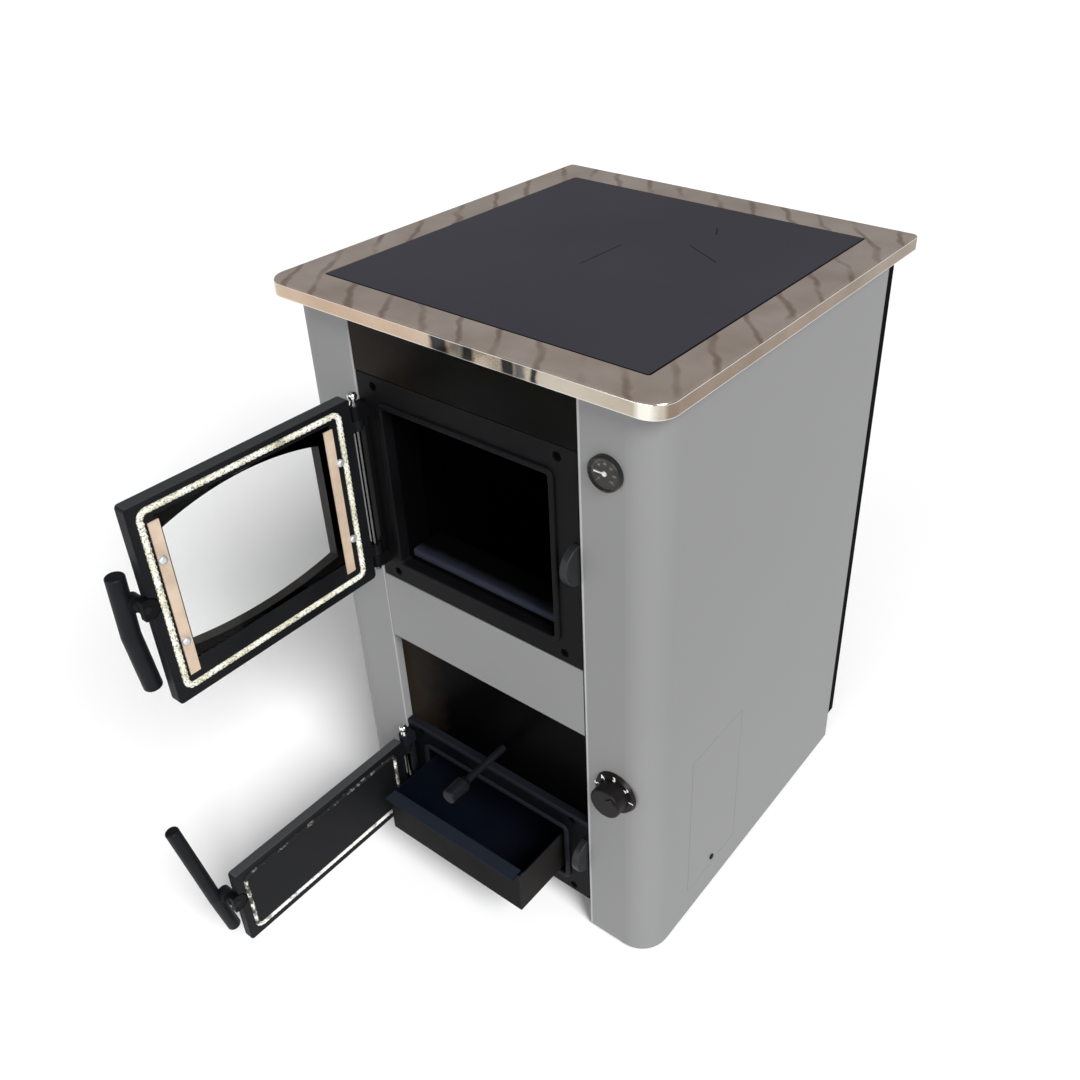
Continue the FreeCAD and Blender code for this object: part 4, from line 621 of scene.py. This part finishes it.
FINISHES = {
    "grey": grey_paint(),
    "upper_enamel": black_enamel("upper_black_enamel", -0.030, 0.0016, 0.05),
    "lower_enamel": black_enamel("lower_black_enamel", -0.065, 0.0004, 0.02),
    "rim": polished_rim(),
    "hob": hob_surface(),
    "cast": plain_finish("satin_cast_iron", (0.0019, 0.0019, 0.0023), (0.0034, 0.0034, 0.0041), 0.52,
                         mottle=12.0, relief=700.0, strength=0.16, distance=0.0006, specular=0.08),
    "keeper": plain_finish("keeper_iron", (0.0075, 0.0080, 0.0094), (0.0122, 0.0130, 0.0152), 0.45,
                           mottle=40.0, relief=700.0, strength=0.16, distance=0.0006, specular=0.25),
    "back": back_sheet(),
    "guard": guard_iron(),
    "ash_frame": ash_frame_iron(),
    "fire_door": door_iron("fire_door_iron", "fire_door", (0.034, 0.035, 0.037), "fire_door_glass"),
    "ash_door": door_iron("ash_door_iron", "ash_door", (0.046, 0.047, 0.050)),
    "soot": plain_finish("sooty_steel", (0.0006, 0.0006, 0.0007), (0.0013, 0.0013, 0.0013), 0.90, mottle=6.0,
                         relief=150.0, strength=0.2, distance=0.001, specular=0.02),
    "steel": plain_finish("dark_boiler_steel", (0.012, 0.011, 0.010), (0.022, 0.020, 0.018), 0.70, mottle=6.0,
                          relief=150.0, strength=0.2, distance=0.001, specular=0.20),
    "rope": rope_yarn("seal_rope", 430.0, 0.30, 45.0),
    "worn_rope": rope_yarn("worn_seal_rope", 420.0, -0.03, 130.0, ASH_SEAL),
    "clamp": plain_finish("clamp_strip", (0.43, 0.325, 0.240), (0.55, 0.435, 0.335), 0.45, mottle=40.0,
                          relief=500.0, strength=0.1, distance=0.0003, specular=0.4),
    "zinc": drawn_steel("bright_zinc", (0.44, 0.47, 0.50), (0.58, 0.61, 0.64), 0.30, (90.0, 90.0, 90.0), 0.5),
    "fire_pin": hinge_pin("fire_pin_steel", "fire_hinge_pin"),
    "ash_pin": hinge_pin("ash_pin_steel", "ash_hinge_pin"),
    "galvanised": drawn_steel("galvanised_sheet", (0.40, 0.41, 0.42), (0.56, 0.57, 0.58), 0.42,
                              (40.0, 40.0, 40.0)),
    "bakelite": plain_finish("satin_bakelite", (0.0038, 0.0041, 0.0052), (0.0068, 0.0073, 0.0092), 0.46,
                             mottle=30.0, relief=1200.0, strength=0.06, distance=0.0002, specular=0.12),
    "knob": plain_finish("moulded_knob", (0.0050, 0.0042, 0.0042), (0.0085, 0.0072, 0.0070), 0.40,
                         mottle=40.0, relief=900.0, strength=0.06, distance=0.0002, specular=0.12),
    "tray": slate_tray(),
    "wool": plain_finish("mineral_wool", (0.42, 0.35, 0.18), (0.58, 0.50, 0.30), 0.95, mottle=25.0,
                         relief=260.0, strength=0.8, distance=0.003),
    "gauge": plain_finish("gauge_case", (0.008, 0.008, 0.008), (0.013, 0.013, 0.013), 0.36, mottle=60.0,
                          specular=0.3),
    "dial": plain_finish("gauge_dial", (0.026, 0.023, 0.021), (0.040, 0.036, 0.033), 0.60, mottle=80.0,
                         specular=0.1),
    "white": plain_finish("white_marking", (0.78, 0.78, 0.76), (0.86, 0.86, 0.84), 0.5, mottle=90.0),
    "pale": plain_finish("pale_marking", (0.22, 0.21, 0.20), (0.30, 0.29, 0.27), 0.5, mottle=90.0),
    "glass": clear_glass(),
}

NODE_FINISHES = {
    "grey": ("middle_front_panel", "left_side_panel", "right_side_panel", "side_access_cover"),
    "upper_enamel": ("upper_front_panel",),
    "lower_enamel": ("lower_front_panel",),
    "back": ("back_panel",),
    "rim": ("worktop_trim",),
    "hob": ("hob_plate",),
    "cast": ("fire_door_frame", "fire_latch_cam", "ash_latch_cam", "fixed_grate", "moving_grate",
             "flue_collar", "panel_screws"),
    "ash_frame": ("ash_door_frame",),
    "fire_door": ("fire_door",),
    "ash_door": ("ash_door",),
    "keeper": ("fire_door_keeper", "ash_door_keeper"),
    "guard": ("fuel_guard",),
    "soot": ("fire_throat", "ash_throat", "boiler_inner_shell", "boiler_front_plate", "boiler_floor_plate",
             "boiler_top_ring", "front_mounting_plate", "grate_bearers", "drawer_runners", "frame_screws"),
    "steel": ("base_frame", "plinth_ring", "boiler_outer_shell"),
    "rope": ("fire_door_gasket", "ash_door_gasket"),
    "clamp": ("glass_clamps",),
    "zinc": ("clamp_screws",),
    "fire_pin": ("fire_hinge_pin",),
    "ash_pin": ("ash_hinge_pin",),
    "galvanised": ("water_sockets", "thermostat_body", "air_flap", "air_flap_lugs", "flap_pull_link"),
    "bakelite": ("fire_door_handle", "ash_door_handle", "shaker_knob", "shaker_rod"),
    "knob": ("thermostat_knob",),
    "tray": ("ash_drawer",),
    "wool": ("left_insulation", "right_insulation"),
    "gauge": ("thermometer_case",),
    "dial": ("thermometer_dial",),
    "white": ("thermometer_needle",),
    "glass": ("fire_door_glass", "thermometer_glass"),
}


def dress_nodes():
    """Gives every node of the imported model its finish."""
    for finish, names in NODE_FINISHES.items():
        for name in names:
            slots = nodes[name].data.materials
            slots.clear()
            slots.append(FINISHES[finish])


# Rope seals

def opened(point):
    """Where a point of a shut door lies when that door stands open."""
    return Vector((HINGE_X + point.y - HINGE_Y, HINGE_Y - point.x + HINGE_X, point.z))


def seal_route(levels, step):
    """Even points along the middle of a rope seal, each with its direction away from the door's middle."""
    low, high = levels
    half = SEAL_HALF - SEAL_CORNER
    bottom, top = low + SEAL_CORNER, high - SEAL_CORNER
    centres = ((half, bottom, -90), (half, top, 0), (-half, top, 90), (-half, bottom, 180))
    route = []
    for index, (x, z, start) in enumerate(centres):
        count = max(4, round(SEAL_CORNER * math.pi / 2 / step))
        for part in range(count):
            angle = math.radians(start + 90.0 * part / count)
            outward = Vector((math.cos(angle), 0, math.sin(angle)))
            route.append((Vector((x, SEAL_MIDDLE_Y, z)) + outward * SEAL_CORNER, outward))
        ahead = centres[(index + 1) % 4]
        angle = math.radians(start + 90)
        outward = Vector((math.cos(angle), 0, math.sin(angle)))
        begin = Vector((x, SEAL_MIDDLE_Y, z)) + outward * SEAL_CORNER
        end = Vector((ahead[0], SEAL_MIDDLE_Y, ahead[1])) + outward * SEAL_CORNER
        count = round((end - begin).length / step)
        route += [(begin.lerp(end, part / count), outward) for part in range(count)]
    return route


def rope_seal(name, node, body, levels, half_width, half_depth, plait, finish):
    """A braided rope that lies in its groove all round a door."""
    route = seal_route(levels, ROPE_STEP)
    crossings = round(len(route) * ROPE_STEP / plait)
    shape = bmesh.new()
    rings = []
    for index, (middle, outward) in enumerate(route):
        along = math.pi * crossings * index / len(route)
        ring = []
        for side in range(ROPE_SIDES):
            angle = 2 * math.pi * side / ROPE_SIDES
            turn = ROPE_STRANDS * angle / 2
            ridge = abs(math.cos(turn + along)) * abs(math.cos(turn - along))
            reach = ROPE_CORE + (1.0 - ROPE_CORE) * ridge
            point = middle + outward * (half_width * reach * math.cos(angle))
            point.y += half_depth * reach * math.sin(angle)
            ring.append(shape.verts.new(opened(point)))
        rings.append(ring)
    for index, ring in enumerate(rings):
        ahead = rings[(index + 1) % len(rings)]
        for side in range(ROPE_SIDES):
            nearby = (side + 1) % ROPE_SIDES
            shape.faces.new((ring[side], ahead[side], ahead[nearby], ring[nearby]))
    bmesh.ops.recalc_face_normals(shape, faces=shape.faces)
    mesh = bpy.data.meshes.new(name)
    shape.to_mesh(mesh)
    shape.free()
    rope = bpy.data.objects.new(name, mesh)
    bpy.context.scene.collection.objects.link(rope)
    for face in mesh.polygons:
        face.use_smooth = True
    mesh.materials.append(FINISHES[finish])
    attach(rope, body)
    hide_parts(node)


# Printed markings

def front_turn(centre, y, angle):
    """Carries a flat shape drawn about the origin to a dial that faces the front, turned anticlockwise."""
    upright = Matrix.Rotation(math.radians(90), 4, "X")
    turn = Matrix.Rotation(-angle, 4, "Y")
    return Matrix.Translation((centre[0], y, centre[1])) @ turn @ upright


def joined_marking(name, pieces, body, finish):
    """Joins printed pieces to one marking that rides on a body."""
    bpy.ops.object.select_all(action="DESELECT")
    for piece in pieces:
        piece.select_set(True)
    bpy.context.view_layer.objects.active = pieces[0]
    if len(pieces) > 1:
        bpy.ops.object.join()
    marking = bpy.context.view_layer.objects.active
    marking.name = name
    marking.data.name = name
    marking.data.materials.clear()
    marking.data.materials.append(FINISHES[finish])
    marking.select_set(False)
    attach(marking, body)


def printed_number(text, size, place):
    """A raised number, drawn about the origin and carried to its place."""
    bpy.ops.object.select_all(action="DESELECT")
    bpy.ops.object.text_add()
    number = bpy.context.object
    number.data.body = text
    number.data.size = size
    number.data.align_x = "CENTER"
    number.data.align_y = "CENTER"
    number.data.extrude = NUMBER_RISE
    number.data.offset = size * NUMBER_BOLDNESS
    bpy.ops.object.convert(target="MESH")
    number.data.transform(place)
    return number


def printed_stroke(width, length, distance, place):
    """A raised stroke that points away from the origin, carried to its place."""
    bpy.ops.object.select_all(action="DESELECT")
    bpy.ops.mesh.primitive_plane_add(size=1.0)
    stroke = bpy.context.object
    bpy.ops.object.mode_set(mode="EDIT")
    bpy.ops.mesh.select_all(action="SELECT")
    bpy.ops.mesh.extrude_region_move(TRANSFORM_OT_translate={"value": (0, 0, STROKE_RISE)})
    bpy.ops.mesh.select_all(action="SELECT")
    bpy.ops.mesh.normals_make_consistent(inside=False)
    bpy.ops.object.mode_set(mode="OBJECT")
    stroke.data.transform(Matrix.Diagonal((width, length, 1.0, 1.0)))
    stroke.data.transform(Matrix.Translation((0, distance, 0)))
    stroke.data.transform(place)
    return stroke


def thermometer_scale():
    """Ticks and numbers on the thermometer's dial."""
    pieces = []
    for step in range(SCALE_TICKS + 1):
        angle = math.radians(SCALE_START - SCALE_SWEEP * step / SCALE_TICKS)
        width, length = LONG_TICK if step % TICKS_A_NUMBER == 0 else SHORT_TICK
        place = front_turn(GAUGE_CENTRE, DIAL_Y, angle)
        pieces.append(printed_stroke(width, length, TICK_REACH - length / 2, place))
    last = SCALE_TICKS // TICKS_A_NUMBER
    for step in range(last + 1):
        angle = math.radians(SCALE_START - SCALE_SWEEP * step / last)
        centre = (GAUGE_CENTRE[0] - SCALE_NUMBER_REACH * math.sin(angle),
                  GAUGE_CENTRE[1] + SCALE_NUMBER_REACH * math.cos(angle))
        place = front_turn(centre, DIAL_Y, 0.0)
        pieces.append(printed_number(str(step * DEGREES_A_NUMBER), SCALE_NUMBER_SIZE, place))
    joined_marking("thermometer_scale", pieces, "cooker", "pale")


def knob_numbers():
    """Numbers round the skirt of the draught knob."""
    pieces = []
    for number, turn in enumerate(KNOB_NUMBER_TURNS, 1):
        angle = math.radians(turn)
        centre = (KNOB_CENTRE[0] + KNOB_NUMBER_REACH * math.cos(angle),
                  KNOB_CENTRE[1] + KNOB_NUMBER_REACH * math.sin(angle))
        place = front_turn(centre, KNOB_SKIRT_Y, angle - math.pi / 2)
        pieces.append(printed_number(str(number), KNOB_NUMBER_SIZE, place))
    joined_marking("knob_numbers", pieces, "thermostat_knob", "white")


# Floor, light and camera

def make_floor():
    """A plain pale floor."""
    bpy.ops.object.select_all(action="DESELECT")
    bpy.ops.mesh.primitive_plane_add(size=FLOOR_WIDTH, location=(0, 0, -FLOOR_DROP))
    floor = bpy.context.object
    floor.name = "pale_floor"
    finish, _, shader = new_finish("pale_floor", 0.9)
    shader.inputs["Base Color"].default_value = (0.95, 0.95, 0.95, 1.0)
    floor.data.materials.append(finish)


def make_lights():
    """Plain soft studio light all round, with a broad lamp from the right and a weaker one from the front."""
    world = bpy.data.worlds.new("studio")
    bpy.context.scene.world = world
    world.use_nodes = True
    backdrop = world.node_tree.nodes["Background"]
    backdrop.inputs["Color"].default_value = (1.0, 1.0, 1.0, 1.0)
    backdrop.inputs["Strength"].default_value = BACKDROP_STRENGTH
    for name, energy, spread, direction in LAMPS:
        data = bpy.data.lights.new(name, "SUN")
        data.energy = energy
        data.angle = math.radians(spread)
        lamp = bpy.data.objects.new(name, data)
        bpy.context.scene.collection.objects.link(lamp)
        lamp.rotation_euler = Vector(direction).to_track_quat("-Z", "Y").to_euler()
    bpy.context.scene.view_settings.view_transform = "Standard"


def make_camera():
    """The camera at the photograph's viewing angle."""
    turn, tilt, roll = math.radians(VIEW_TURN), math.radians(VIEW_TILT), math.radians(VIEW_ROLL)
    back = Vector((math.sin(turn) * math.cos(tilt), -math.cos(turn) * math.cos(tilt), math.sin(tilt)))
    level_right = Vector((math.cos(turn), math.sin(turn), 0))
    level_up = back.cross(level_right)
    right = level_right * math.cos(roll) + level_up * math.sin(roll)
    up = level_up * math.cos(roll) - level_right * math.sin(roll)
    data = bpy.data.cameras.new("photo_camera")
    data.sensor_width = CAMERA_SENSOR
    data.lens = CAMERA_LENS
    data.shift_x, data.shift_y = CAMERA_SHIFT
    camera = bpy.data.objects.new("photo_camera", data)
    bpy.context.scene.collection.objects.link(camera)
    facing = Matrix((right, up, back)).transposed().to_4x4()
    camera.matrix_world = Matrix.Translation(CAMERA_PLACE) @ facing
    bpy.context.scene.camera = camera


dress_nodes()
rope_seal("fire_door_rope", "fire_door_gasket", "fire_door", FIRE_SEAL, 0.0041, 0.0042, 0.0075, "rope")
rope_seal("ash_door_rope", "ash_door_gasket", "ash_door", ASH_SEAL, 0.0030, 0.0036, 0.0060, "worn_rope")
thermometer_scale()
knob_numbers()
make_floor()
make_lights()
make_camera()
